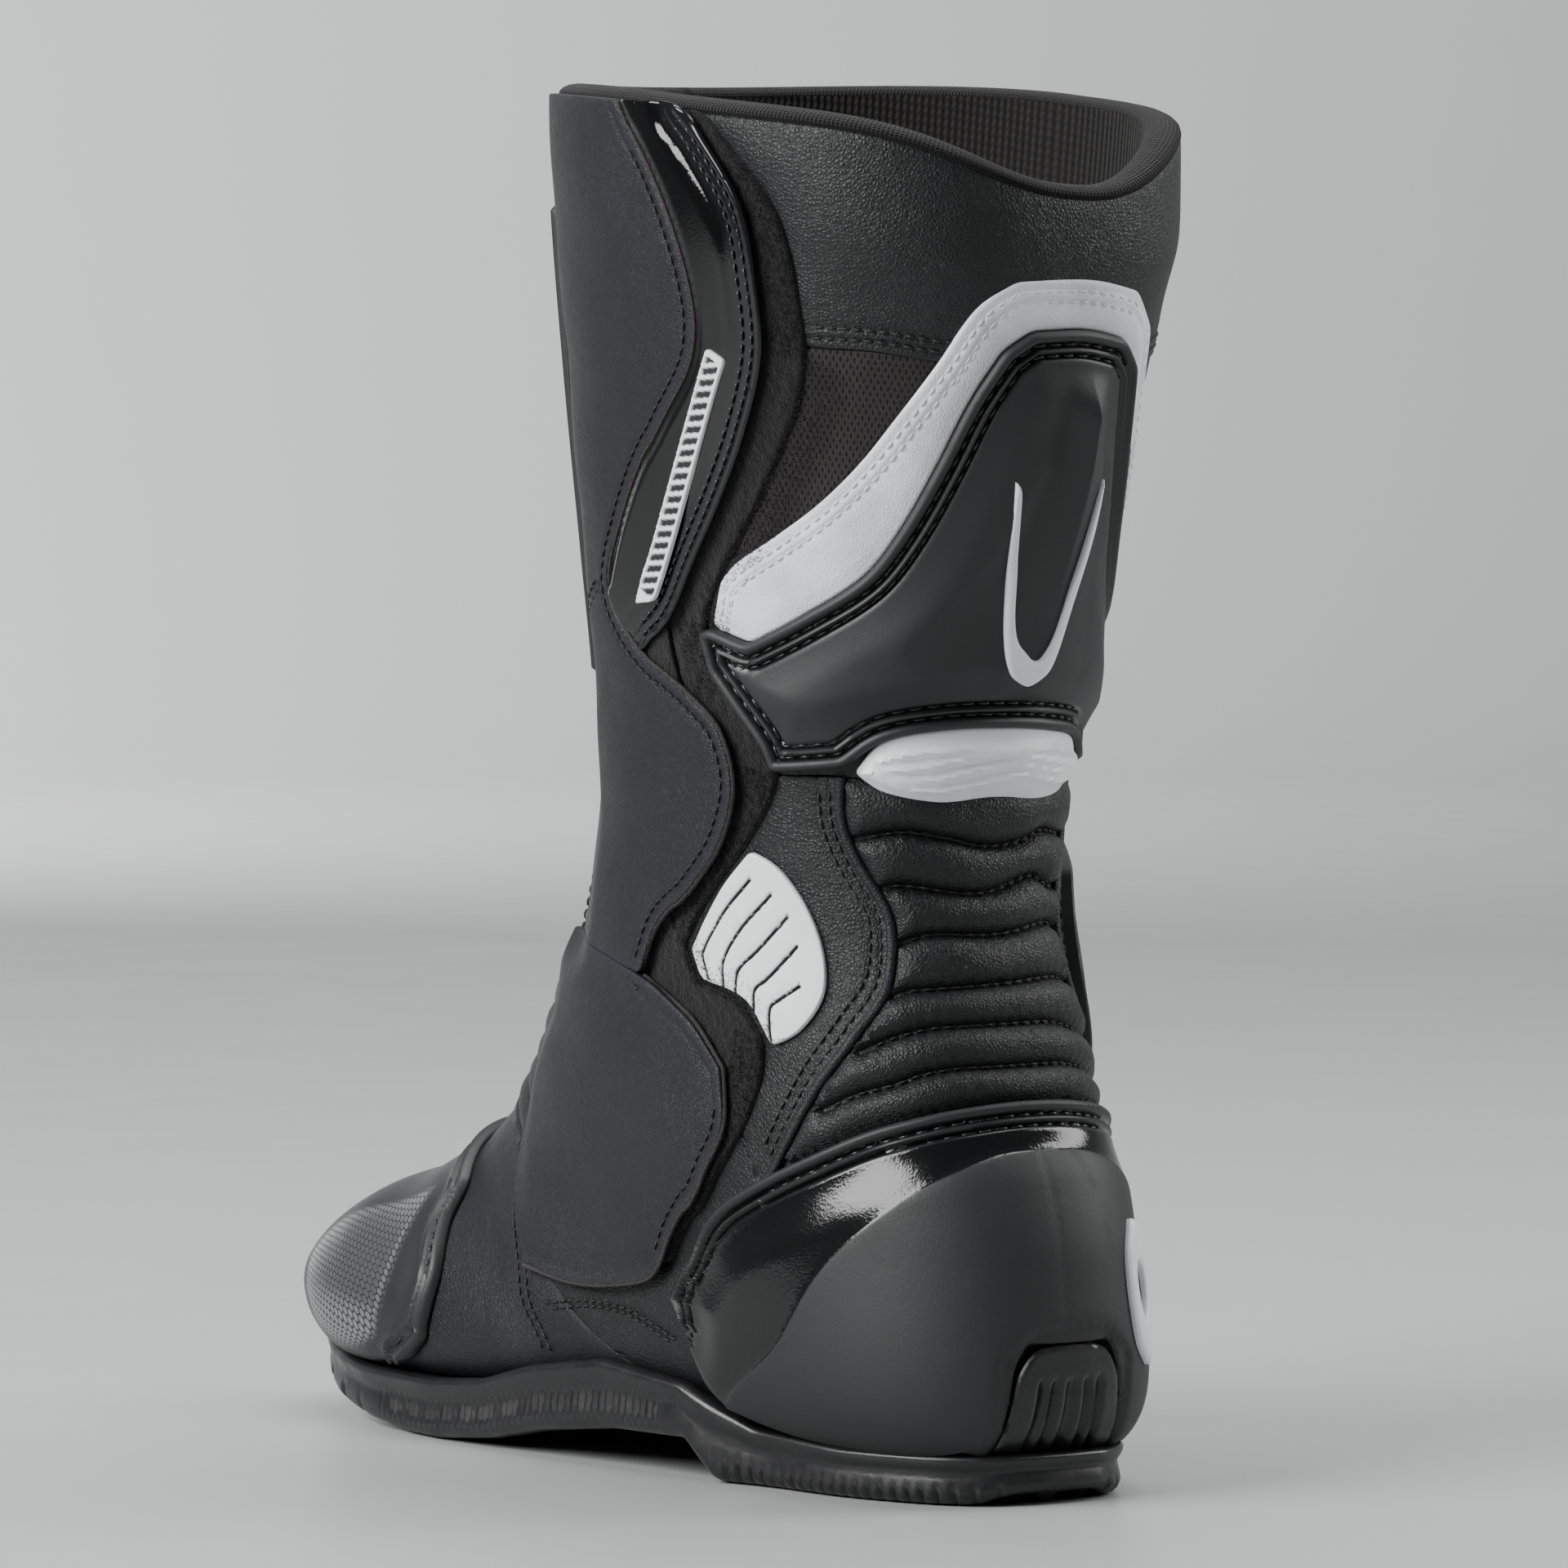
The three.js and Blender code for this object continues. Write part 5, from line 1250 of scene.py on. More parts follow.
def build_lobe(white):
    """The white padded lobe under the calf guard."""
    outline = [
        (142, 3.92), *GUARD_LOWER[2:-2], (219, 3.92), (207, 4.07), (193, 4.1), (180, 4.05), (165, 4.1),
        (153, 4.06),
    ]
    lower_edge = [(142, 3.93), (153, 4.06), (165, 4.1), (180, 4.05), (193, 4.1), (207, 4.07), (219, 3.92)]
    crests = [
        [(142, 3.92), (150, 3.80), (163, 3.72), (180, 3.71), (200, 3.74), (219, 3.90)],
        [(142, 3.92), (152, 3.86), (160, 3.83), (170, 3.77), (182, 3.75), (198, 3.82), (219, 3.91)],
        [(142, 3.93), (153, 3.92), (163, 3.91), (172, 3.85), (183, 3.81), (198, 3.88), (219, 3.92)],
        [(142, 3.93), (153, 3.97), (165, 3.98), (176, 3.93), (186, 3.88), (200, 3.95), (219, 3.92)],
    ]

    def waves(v):
        height = 1.2 * ramp(v.rim, 0, 6)
        for crest in crests:
            height = height + 1.15 * hump(v.to(crest), 0, 0.85) * ramp(v.rim, 0.5, 3)
        return height - 1.9 * np.exp(-v.to(lower_edge) / 2.4)

    panel("achilles_shield", outline, (0, 2.4), SHELL_WHITE, nodes=["achilles_lobe"],
          relief=waves, pitch=1.1, edge=0.7, rows=(1.4, 2.2, 3.0))
    fine = smooth_line(lower_edge)
    sign = -away_from(fine, (180.0, 3.8), 2)
    white.along(beside(fine, sign * 1.9)[3:-3], 1.35, pitch=2.7, length=1.9)


def build_foot(black):
    """The vamp, the instep's bellows and the two quarters."""
    vamp_side = [(86, 9.65), (124, 9.6), (124, 12.0), (120, 13.0), (114, 14.0), (110, 15)]
    vamp = [
        (BELLOWS_EDGE, 9.0), *vamp_side, *[(a - 360, s) for a, s in mirrored(vamp_side)], (-BELLOWS_EDGE, 9.0),
    ]

    def crease(v):
        return 0.5 * ripple(v.points, 40) * ramp(v.rim, 0, 6) - 0.15 * np.exp(-v.rim / 1.2)

    panel("vamp_leather", vamp, BASE, SMOOTH, nodes=["vamp"], relief=crease, pitch=2.4)

    folds = [
        [(-BELLOWS_EDGE + 3, s), (0, s - 0.05), (BELLOWS_EDGE - 3, s)]
        for s in (6.5, 6.95, 7.4, 7.85, 8.3, 8.75)
    ]

    def instep_rolls(v):
        fold = np.min([v.to(line) for line in folds], axis=0)
        full = np.clip(np.minimum(fold, v.rim * 0.8) / 4.5, 0, 1)
        return 2.6 * np.sqrt(1 - (1 - full) ** 2) - 0.5

    instep = [
        (-BELLOWS_EDGE, ANKLE_FRONT), (BELLOWS_EDGE, ANKLE_FRONT), (BELLOWS_EDGE, 9.0), (-BELLOWS_EDGE, 9.0),
    ]
    front = panel("instep_rolls", instep, BASE, SMOOTH, nodes=["instep_accordion"],
                  relief=instep_rolls, pitch=1.9, lines=[(line, (-0.9, -0.4, 0, 0.4, 0.9)) for line in folds])
    for line in folds:
        black.along(smooth_line(line), -0.5)

    inner = [
        (BELLOWS_EDGE, ANKLE_FRONT), (76, ANKLE_FRONT), (76, 8.1), (86, 8.15), (88, 7.7), (94, 7.2), (101, 6.7),
        *HEEL_TOP, *FEATHER, (86, 9.65), (BELLOWS_EDGE, 9.0),
    ]
    outer = [
        *mirrored([*HEEL_TOP, *FEATHER]), (272, 6.6), (OUTER_FRONT, ANKLE_FRONT),
        (360 - BELLOWS_EDGE, ANKLE_FRONT), (360 - BELLOWS_EDGE, 9.0), (274, 9.65),
    ]
    quarters = (("inner_quarter", inner, "medial_quarter"), ("outer_quarter", outer, "lateral_quarter"))
    for name, outline, node in quarters:
        panel(name, outline, BASE, GRAIN, nodes=[node], pitch=2.8,
              relief=lambda v: 0.35 * ripple(v.points, 40) - 0.15 * np.exp(-v.rim / 1.2))
    shoulder = smooth_line([(86, 9.9), (86, 9.4), (90, 9.05), (97, 8.93)])
    for distance in (0.0, 2.6):
        black.along(beside(shoulder, distance), -0.1)


def build_guards(white, waxed):
    """The white stripe, the calf shield with its inlay, and the shin guard."""
    stripe = [*STRIPE_OUTER, *STRIPE_INNER[::-1]]

    def stripe_relief(v):
        return seam_dent(v.to(STRIPE_OUTER)) * 1.2 + 0.35 * ramp(v.rim, 0, 4) + 0.15 * ripple(v.points, 20)

    panel("calf_stripe_leather", stripe, (0, 1.3), WHITE, nodes=["calf_stripe"],
          relief=stripe_relief, pitch=1.9, edge=0.7, rows=SEAM_ROWS, corner=24)
    stitch_inside(white, rounded(stripe, corner=24), (2.6, 5.1), 1.45, smooth_line(STRIPE_OUTER), 1.0,
                  pitch=3.2, length=2.2, radius=0.3)

    guard = [
        *STRIPE_INNER, (248, 3.68), *GUARD_LOWER[::-1], (118, 3.86), (112, 3.68), (104, 3.45), (101, 3.2),
    ]
    keel = [(185.5, 1.5), (186.5, 1.95), (186, 2.9)]
    fans = [[(178, 2.0), (170, 2.5), (152, 3.1)], [(195, 2.0), (205, 2.5), (222, 3.0)]]
    sweep = [(120, 3.55), (140, 3.42), (160, 3.26), (182, 3.2), (205, 3.28), (232, 3.6)]

    def shield(v):
        body = 1.7 * ramp(v.rim, 7, 16)
        off = (v.angle - 186) * 0.85
        along = v.station
        peak = ramp(along, 1.44, 1.72) * (1 - ramp(along, 1.9, 3.3) * 0.75)
        half = 4.5 + 7 * ramp(along, 1.7, 3.2)
        crest = 4.4 * peak * np.clip(1 - np.abs(off) / half, 0, 1)
        sides = sum(1.3 * np.exp(-v.to(fan) / 5) for fan in fans)
        belly = 1.1 * np.exp(-v.to(sweep) / 6)
        inside_frame = ramp(v.rim, 6.6, 9)
        return frame_relief(v.rim) + (body + crest + sides + belly) * inside_frame

    panel("calf_shield", guard, (0, 3.0), MATTE, nodes=["calf_guard"], relief=shield,
          pitch=1.5, edge=0.9, rows=FRAME_ROWS, masks={"gloss": lambda v: frame_gloss(v.rim)},
          lines=[(keel, (-2, -1, -0.4, 0, 0.4, 1, 2))], corner=24)
    stitch_inside(waxed, rounded(guard, corner=24), FRAME_CHANNELS, 1.95, **FRAME_STITCH)

    def inlay_relief(v):
        off = (v.angle - 186) * 0.85
        peak = 1 - ramp(v.station, 1.9, 3.3) * 0.75
        half = 4.5 + 7 * ramp(v.station, 1.7, 3.2)
        return 0.9 + 1.7 + 4.4 * peak * np.clip(1 - np.abs(off) / half, 0, 1) + 0.9

    thin_inlay = beside(rounded(INLAY, 1.2), 0.75, True).tolist()
    panel("calf_inlay", thin_inlay, (1.0, 2.9), SHELL_WHITE, nodes=["calf_guard_inlay"],
          relief=inlay_relief, lower=inlay_relief, pitch=1.0, edge=0.8, step=0.8)

    plate_side = [(46, 1.0), (46, 2.0), (44, 3.0), (40, 3.85)]
    face_side = [(30, 1.25), (31, 2.1), (28, 2.9)]

    def across(side):
        return [*side, *[(-angle, station) for angle, station in reversed(side)]]

    panel("shin_guard", across(plate_side), (0, 3.0), MATTE, nodes=["shin_plate"], pitch=2.4,
          edge=1.0, rows=FRAME_ROWS, masks={"gloss": lambda v: frame_gloss(v.rim)},
          relief=lambda v: frame_relief(v.rim) + 0.6 * ramp(v.rim, 7, 14))
    stitch_inside(waxed, rounded(across(plate_side)), FRAME_CHANNELS, 1.95, **FRAME_STITCH)
    bars = [[(-24, s), (0, s + 0.06), (24, s)] for s in (1.7, 2.0, 2.3, 2.6)]

    def face_relief(v):
        return 0.8 + 0.7 * ramp(v.rim, 0, 4) - 0.7 * np.sum([hump(v.to(bar), 0, 0.8) for bar in bars], axis=0)

    panel("shin_guard_face", across(face_side), (3.2, 4.5), SHELL_GREY,
          nodes=["shin_plate_face"],
          relief=face_relief, pitch=1.8, edge=0.8, lines=[(bar, (-1, -0.5, 0, 0.5, 1)) for bar in bars])


def build_heel(waxed):
    """The moulded heel counter, with its polished border, its notch and its badge."""
    heel_side = [(180, 8.0), (160, 8.08), (146, 8.4), (133, 8.85), (120, 9.05), (108, 8.95), (98, 8.75)]
    heel_front = [(90, 8.4), (90, 7.9), (94, 7.43)]
    outer = mirrored([*heel_side[1:], *heel_front, *HEEL_TOP[:-1]])
    notch = [(194, 8.12), (193.6, 7.55), (190.5, 7.4), (169.5, 7.4), (166.4, 7.55), (166, 8.12)]
    outline = [*notch, *heel_side[1:], *heel_front, *HEEL_TOP, *outer]
    upper_edge = [(93, 8.6), *heel_front, *HEEL_TOP, *mirrored(HEEL_TOP)[1:], *mirrored(heel_front), (267, 8.6)]
    arc = [(122, 9.2), (112, 8.7), (109, 8.2), (115, 7.6), (129, 7.05), (146, 6.62), (165, 6.38), (180, 6.33)]
    arc = [*arc, *mirrored(arc)[1:]]
    arc_loop = np.array(smooth_line([*arc, (236, 9.8), (180, 9.4), (124, 9.8)], True))
    edge_line = smooth_line(upper_edge, step=0.5)
    recess_top = [(163, 7.5), (172, 7.33), (188, 7.33), (197, 7.5)]
    recess_loop = smooth_line([(166, 8.3), *recess_top, (194, 8.3)], True)
    recess = [(166, 8.1), *recess_top, (194, 8.1)]

    def counter(v):
        far = nearest(v.points, edge_line)
        matte = inside(v.places, arc_loop)
        step = np.where(matte, 1, -1) * v.to(arc)
        body = 1.6 * ramp(far, 7, 20) + 0.35 * ramp(step, -0.5, 0.5)
        well = depth_inside(v, recess_loop)
        ridge = -0.25 * hump(v.angle, 178, 0.35) * matte
        return frame_relief(far) + body - 1.3 * ramp(well, -1.5, 1.5) + ridge

    def polish(v):
        far = nearest(v.points, edge_line)
        matte = inside(v.places, arc_loop)
        step = np.where(matte, 1, -1) * v.to(arc)
        return np.clip(ramp(-step, -0.2, 0.2) * ramp(far, 6.6, 7.2) + frame_gloss(far), 0, 1)

    panel("heel_shell", outline, (0, 3.0), MATTE, nodes=["heel_counter"], relief=counter,
          pitch=1.6, edge=0.9, masks={"gloss": polish}, step=1.0,
          lines=[(upper_edge, [-d for d in FRAME_ROWS] + list(FRAME_ROWS)), (arc, (-0.5, -0.2, 0.2, 0.5)),
                 (recess, (-1.5, -0.75, 0, 0.75, 1.5))])
    stitch_inside(waxed, rounded(outline), FRAME_CHANNELS, 1.95, edge_line, 0.6, **FRAME_STITCH)
    emblem = [(204, 6.8), (212, 6.9), (214, 7.3), (207, 7.65), (200, 7.45), (199, 7.0)]
    hole = [(204.5, 7.05), (209, 7.12), (209.5, 7.28), (206, 7.4), (203.5, 7.3), (203, 7.12)]
    panel("heel_badge_ring", emblem, (3.4, 4.9), SHELL_WHITE, nodes=["heel_emblem"],
          pitch=1.2,
          relief=lambda v: 1.6 + 0.3 * hump(v.rim, 2.5, 1.2), lower=lambda v: 0.9 + 0 * v.rim, edge=0.8,
          holes=[hole])


def build_toe(waxed):
    """The toe cap and the slider with its two screws."""
    cap_side = [(0, 9.75), (42, 9.92), (56, 10.3), (72, 10.6), (84, 10.9), (96, 11.2), (108, 11.5)]
    cap_edge = [*cap_side, (114, 12.2), (112, 13.0), (100, 13.8), (88, 14.5), (86, 15)]
    outline = [*cap_edge, *[(-a, s) for a, s in cap_edge[::-1][:-1]]]
    back_edge = smooth_line([*[(-a, s) for a, s in cap_side[:0:-1]], *cap_side], step=0.5)
    field = [
        (40, 10.5), (54, 10.8), (70, 11.12), (84, 11.42), (98, 11.8), (105, 12.2), (100, 12.8), (84, 13.1),
        (62, 12.9), (46, 12.1),
    ]

    def back(v):
        return nearest(v.points, back_edge)

    def cap_relief(v):
        far = back(v)
        low = -0.4 * np.exp(-v.rim / 1.5)
        rim_roll = 1.5 * hump(far, 1.8, 1.4) - 0.5 * hump(far, 4.4, 0.6) + 1.0 * hump(far, 6.4, 1.1)
        return rim_roll + 0.5 * ramp(far, 8, 16) + low

    def within(v, loop):
        return ramp(depth_inside(v, smooth_line(loop, True)), -1.0, 4.0)

    def printed(v):
        """1 where the film is printed."""
        return np.maximum(within(v, field), within(v, [(-a, s) for a, s in field]))

    panel("toe_cap_shell", outline, (0, 1.3), TOE_FILM, nodes=["toe_cap"], relief=cap_relief,
          pitch=1.3, edge=0.8, rows=(1.4,), masks={"film": printed, "gloss": lambda v: hump(back(v), 4.4, 0.8)},
          lines=[(back_edge[::3], (-6.4, -5.4, -4.8, -4.4, -4, -3.2, -1.8, 1.8, 3.2, 4, 4.4, 4.8, 5.4, 6.4))])
    stitch_inside(waxed, rounded(outline), (4.4,), 1.15, back_edge, 1.6, pitch=4.0, length=3.0, radius=0.34)

    slider = [
        (258, 12.2), (270, 11.9), (290, 12.1), (302, 12.7), (300, 13.6), (288, 14.0), (272, 13.7), (261, 13.0),
    ]
    screws = {"front": (286, 13.4), "rear": (276, 12.4)}
    holes = [disc(place, 2.6) for place in screws.values()]
    panel("toe_slider_shell", slider, (1.6, 4.6), SHELL_GREY, nodes=["toe_slider"], pitch=1.4,
          relief=lambda v: 1.2 * ramp(v.rim, 0, 6), edge=1.2, holes=holes)
    for name, place in screws.items():
        slot = [(place[0] - 2.2, place[1]), (place[0] + 2.2, place[1])]
        panel(f"slider_screw_{name}", disc(place, 2.3), (1.7, 4.0), STEEL, pitch=0.5, edge=0.5,
              step=0.6,
              nodes=[f"toe_slider_screw_{name}"], relief=lambda v, s=slot: -0.7 * hump(v.to(s), 0, 0.4))


def disc(place, radius, sides=14):
    """A round outline on the chart."""
    mm = scales([place])[0]
    turns = 2 * np.pi * np.arange(sides) / sides
    return [(place[0] + radius * math.cos(t) / mm[0], place[1] + radius * math.sin(t) / mm[1]) for t in turns]


# ------------------------------------------------------------------ the zip and its flap

def oriented_box(node):
    """The corner, the three edge vectors and their lengths of a box-shaped CAD node, in mm."""
    points = np.array([v.co for v in frame["nodes"][node].data.vertices]) / MM
    centre = points.mean(0)
    down = next(np.array(j["axis"]) for j in frame["joints"] if j["name"] == "zip_slide")
    across = next(np.array(j["axis"]) for j in frame["joints"] if j["name"] == "zip_pull_swing")
    down, across = down / np.linalg.norm(down), across / np.linalg.norm(across)
    out = np.cross(across, down)
    out *= np.sign(out @ (centre - np.array([0, -30, centre[2]])))
    axes = np.array([across, down, out])
    spread = np.ptp((points - centre) @ axes.T, axis=0)
    return centre, axes, spread


def block_piece(name, node, outline_rings, material, body, nodes):
    """A piece in a CAD block's own frame, from stacked outlines: (outline, height share)."""
    centre, axes, size = oriented_box(node)
    rings = []
    for outline, share in outline_rings:
        flat = np.array(outline) * size[:2] / 2
        high = np.full(len(flat), (share - 0.5) * size[2])
        rings.append(centre + np.column_stack([flat, high]) @ axes)
    count = len(rings[0])
    faces = bands(len(rings), count)
    faces += [list(range(count)), [(len(rings) - 1) * count + i for i in range(count)]]
    obj = make_object(name, np.vstack(rings), faces, material, sharp=35)
    fix_normals(obj)
    return settle(obj, body, nodes)


def build_zip():
    """The tapes, the chain of teeth, the slider and the pull."""
    tapes = (("zip_tape_fore", CHANNEL_FRONT - 3, 75, "zip_tape_front"),
             ("zip_tape_aft", 75, CHANNEL_REAR + 3, "zip_tape_rear"))
    for name, start, end, node in tapes:
        outline = [(start, 0.4), (end, 0.4), (end, 4.0), (start, 4.0)]
        panel(name, outline, (-5.8, -5.0), BINDING, nodes=[node], pitch=2.5, edge=0.3)
    centre, axes, size = oriented_box("zip_teeth")
    pitch = 2.0
    points, faces = [], []
    tooth = np.array([(-1, -0.3), (0.1, -0.42), (0.35, 0), (0.1, 0.42), (-1, 0.3)])
    for i in range(int(size[1] / pitch) - 1):
        side = 1 if i % 2 else -1
        along = -size[1] / 2 + (i + 1) * pitch
        for share in (-0.5, 0.35, 0.5):
            shrink = 1 if share < 0.4 else 0.75
            flat = tooth * (side * size[0] / 2 * 0.98, pitch * 0.95) * shrink + (0, along)
            points.append(centre + np.column_stack([flat, np.full(5, share * size[2])]) @ axes)
        base = i * 15
        faces += [[base + v for v in face] for face in bands(3, 5)]
        faces += [[base + k for k in range(5)], [base + 10 + k for k in range(5)]]
    teeth = make_object("zip_chain", np.vstack(points), faces, ZIP_BLACK, sharp=30)
    fix_normals(teeth)
    settle(teeth, "boot", ["zip_teeth"])
    waist = [(-0.95, -1), (0.95, -1), (1, -0.7), (0.72, 0.1), (0.6, 0.85), (0.4, 1), (-0.4, 1), (-0.6, 0.85),
             (-0.72, 0.1), (-1, -0.7)]
    small = [(x * 0.85, y * 0.9) for x, y in waist]
    block_piece("zip_slider_body", "zip_slider", [(small, 0), (waist, 0.15), (waist, 0.8), (small, 1)],
                ZIP_BLACK, "zip_slider", ["zip_slider"])
    leaf = [(-0.5, -1), (0.5, -1), (0.75, -0.85), (0.6, -0.3), (0.9, 0.3), (1, 0.8), (0.7, 1), (-0.7, 1), (-1, 0.8),
            (-0.9, 0.3), (-0.6, -0.3), (-0.75, -0.85)]
    thin = [(x * 0.88, y * 0.96) for x, y in leaf]
    block_piece("zip_pull_tab", "zip_pull", [(thin, 0), (leaf, 0.25), (leaf, 0.75), (thin, 1)], ZIP_BLACK,
                "zip_pull", ["zip_pull"])


def build_flap(black, waxed):
    """The flap, its lower part on the instep, its edge trim, hook tape and emblem."""
    front = [
        (50, 5.87), (50, 5.0), (49, 4.4), (49, 3.9), (50, 3.4), (50, 2.6), (50, 1.6), (49, 0.9), (49, 0.34),
    ]
    outline = [*FLAP_EDGE_UPPER, *FLAP_EDGE_ANKLE[:-1], (80, 5.84), *front, (54, 0.31), (70, 0.25)]
    front_line = smooth_line(front, step=0.5)
    free_edge = [*FLAP_EDGE_UPPER, *FLAP_EDGE_ANKLE]
    free_line = smooth_line(free_edge, step=0.5)
    seam = [(75, 3.02), (61, 3.38), (52, 3.68), (50, 3.8)]

    def sunk(points):
        """How far the flap comes down, near the hinge line, on to the leather under it."""
        return -2.45 * (1 - ramp(nearest(points, front_line), 1, 15))

    def rest_on_front(v):
        return sunk(v.points)

    def step_up(angle, station):
        """The lower leather laps over the upper along their seam."""
        return 0.3 * ramp(station + (angle - 61) * 0.03, 3.25, 3.4)

    def flap_relief(v):
        far = nearest(v.points, free_line)
        waves = 0.6 * ripple(v.points, 48) * ramp(far, 2, 14) - 0.3 * hump(far, 3.1, 0.8)
        return rest_on_front(v) + waves + step_up(v.angle, v.station)

    flap = panel("flap_leather", outline, (2.7, 4.1), SMOOTH, body="flap",
                 nodes=["closure_flap"],
                 relief=flap_relief, lower=rest_on_front, pitch=2.1, edge=0.45, rows=SEAM_ROWS,
                 lines=[(seam, (-3, -1.5, 0, 1.5, 3))])
    blend_at_hinge(flap)
    stitch_inside(black["flap"], rounded(outline), (3.1,), lambda row: 4.08 + step_up(*row.T), free_line, 1.6)
    for distance in (1.2, 3.6):
        row = beside(smooth_line(seam), distance)[4:-6]
        black["flap"].along(row, 4.3 + sunk(on_surface(row)))
    rope("flap_cut_edge", free_line[::2], 3.4, (0.55, 0.62), CUT_EDGE, body="flap",
         closed=False, sides=8, wobble=0.18)

    low_edge = [
        (80, 5.853), (91, 5.98), (99, 6.25), (99, 6.67), (94, 7.13), (87, 7.8), (86, 8.5), (82, 9.3), (76, 9.7),
    ]
    front_low = [(60, 9.33), (46, 8.74), (36, 7.8), (42, 6.48), (44, 5.9)]
    instep = [*low_edge, *front_low, (50, 5.883)]
    low_front_line = smooth_line([(76, 9.7), *front_low], step=0.5)
    low_line = smooth_line(low_edge, step=0.5)

    def ease(v):
        return -1.3 * (1 - ramp(nearest(v.points, low_front_line), 0, 9))

    def instep_relief(v):
        far = nearest(v.points, low_line)
        near = 1 - ramp(v.station, 5.9, 7.0)
        waves = 0.6 * ripple(v.points, 48) * ramp(far, 2, 14) - 0.3 * hump(far, 3.1, 0.8)
        return waves + near * (1.05 + 0.3 + rest_on_front(v)) + (1 - near) * ease(v)

    panel("instep_flap_leather", instep, (1.65, 3.05), SMOOTH, nodes=["instep_flap"],
          relief=instep_relief, lower=ease, pitch=2.1, edge=0.45, rows=SEAM_ROWS[:6])
    stitch_inside(black["boot"], rounded(instep), (3.1,),
                  lambda row: 3.03 + 1.35 * (1 - ramp(row[:, 1], 5.9, 7.0)), low_line, 1.6)
    rope("instep_cut_edge", low_line[::2], 2.4, (0.55, 0.62), CUT_EDGE, closed=False,
         sides=8, wobble=0.18)
    quarter = smooth_line(QUARTER_SEAM)
    for distance in (0.0, 2.6):
        line = beside(quarter, distance)
        lower_half = line[(line[:, 1] > 3.9)]
        height = np.where(lower_half[:, 1] < 5.9, 0.2, 0.1)
        black["boot"].along(lower_half, height)

    trim_outer = [
        (86, 3.43), (94, 3.14), (100, 2.8), (107, 2.4), (113, 1.97), (117, 1.5), (116, 1.1), (113, 0.66),
        (106, 0.34), (100, 0.15),
    ]
    trim = [*FLAP_EDGE_UPPER, (77, 3.2), *trim_outer]
    outer_line = smooth_line(trim_outer, step=0.5)
    leather_line = smooth_line(FLAP_EDGE_UPPER, step=0.5)

    def trim_relief(v):
        far = nearest(v.points, outer_line)
        near = nearest(v.points, leather_line)
        swell = 0.9 * ramp(far, 6.5, 9.5) * ramp(near, 0.5, 4.0)
        channels = swell - 0.35 * hump(far, 2.5, 0.6) - 0.35 * hump(far, 5.0, 0.6)
        return channels + 0.3 * hump(far, 0.9, 0.8) - 0.4

    panel("flap_trim", trim, (2.7, 4.1), GLOSS, body="flap", nodes=["flap_edge_trim"],
          pitch=1.6,
          relief=trim_relief, edge=0.6, rows=(1.5, 2.0, 2.5, 3.0, 3.8, 4.5, 5.0, 5.5, 6.5, 7.2, 8, 9),
          masks={"gloss": lambda v: ramp(nearest(v.points, outer_line), 6.0, 6.8)})
    stitch_inside(waxed["flap"], rounded(trim), (2.5, 5.0), 3.7, outer_line, 0.5)

    hook = [
        (85, 0.4), (96, 0.4), (112, 0.9), (112, 1.6), (102, 2.3), (92, 3.0), (95, 3.6), (105, 4.0), (98, 4.6),
        (86, 5.2), (85, 4.8),
    ]
    panel("flap_hook_tape", hook, (1.65, 2.35), PILE, body="flap", nodes=["flap_hook_panel"],
          pitch=2.5, edge=0.3, relief=lambda v: 0.0 * v.rim, lower=lambda v: -0.12 * ripple(v.points, 3))
    badge = [(106, 1.5), (110, 1.55), (92, 3.02), (87, 3.1)]
    ends = on_surface(np.array([(108.0, 1.52), (89.5, 3.06)]))
    length = np.linalg.norm(ends[1] - ends[0])
    ahead = (ends[1] - ends[0]) / length
    middle = np.array([(99.0, 2.3)])
    side = np.cross(unit(skin(middle, 1) - skin(middle, 0))[0], ahead)

    def bars(v):
        """1 on a row of slanted bars down the middle of the badge."""
        along, across = (v.points - ends[0]) @ ahead, (v.points - ends.mean(0)) @ side
        phase = np.abs(np.mod(along + 0.7 * across, 3.2) / 3.2 - 0.5)
        within = ramp(along, 1.6, 1.9) * ramp(length - along, 1.6, 1.9) * ramp(v.rim, 0.8, 1.1)
        return ramp(0.30 - phase, -0.05, 0.05) * within

    panel("flap_emblem", badge, (4.4, 5.3), SHELL_WHITE, body="flap", nodes=["flap_badge"],
          pitch=0.45, edge=0.35, relief=lambda v: 0.25 - 0.45 * bars(v), step=0.7, masks={"dark": bars})


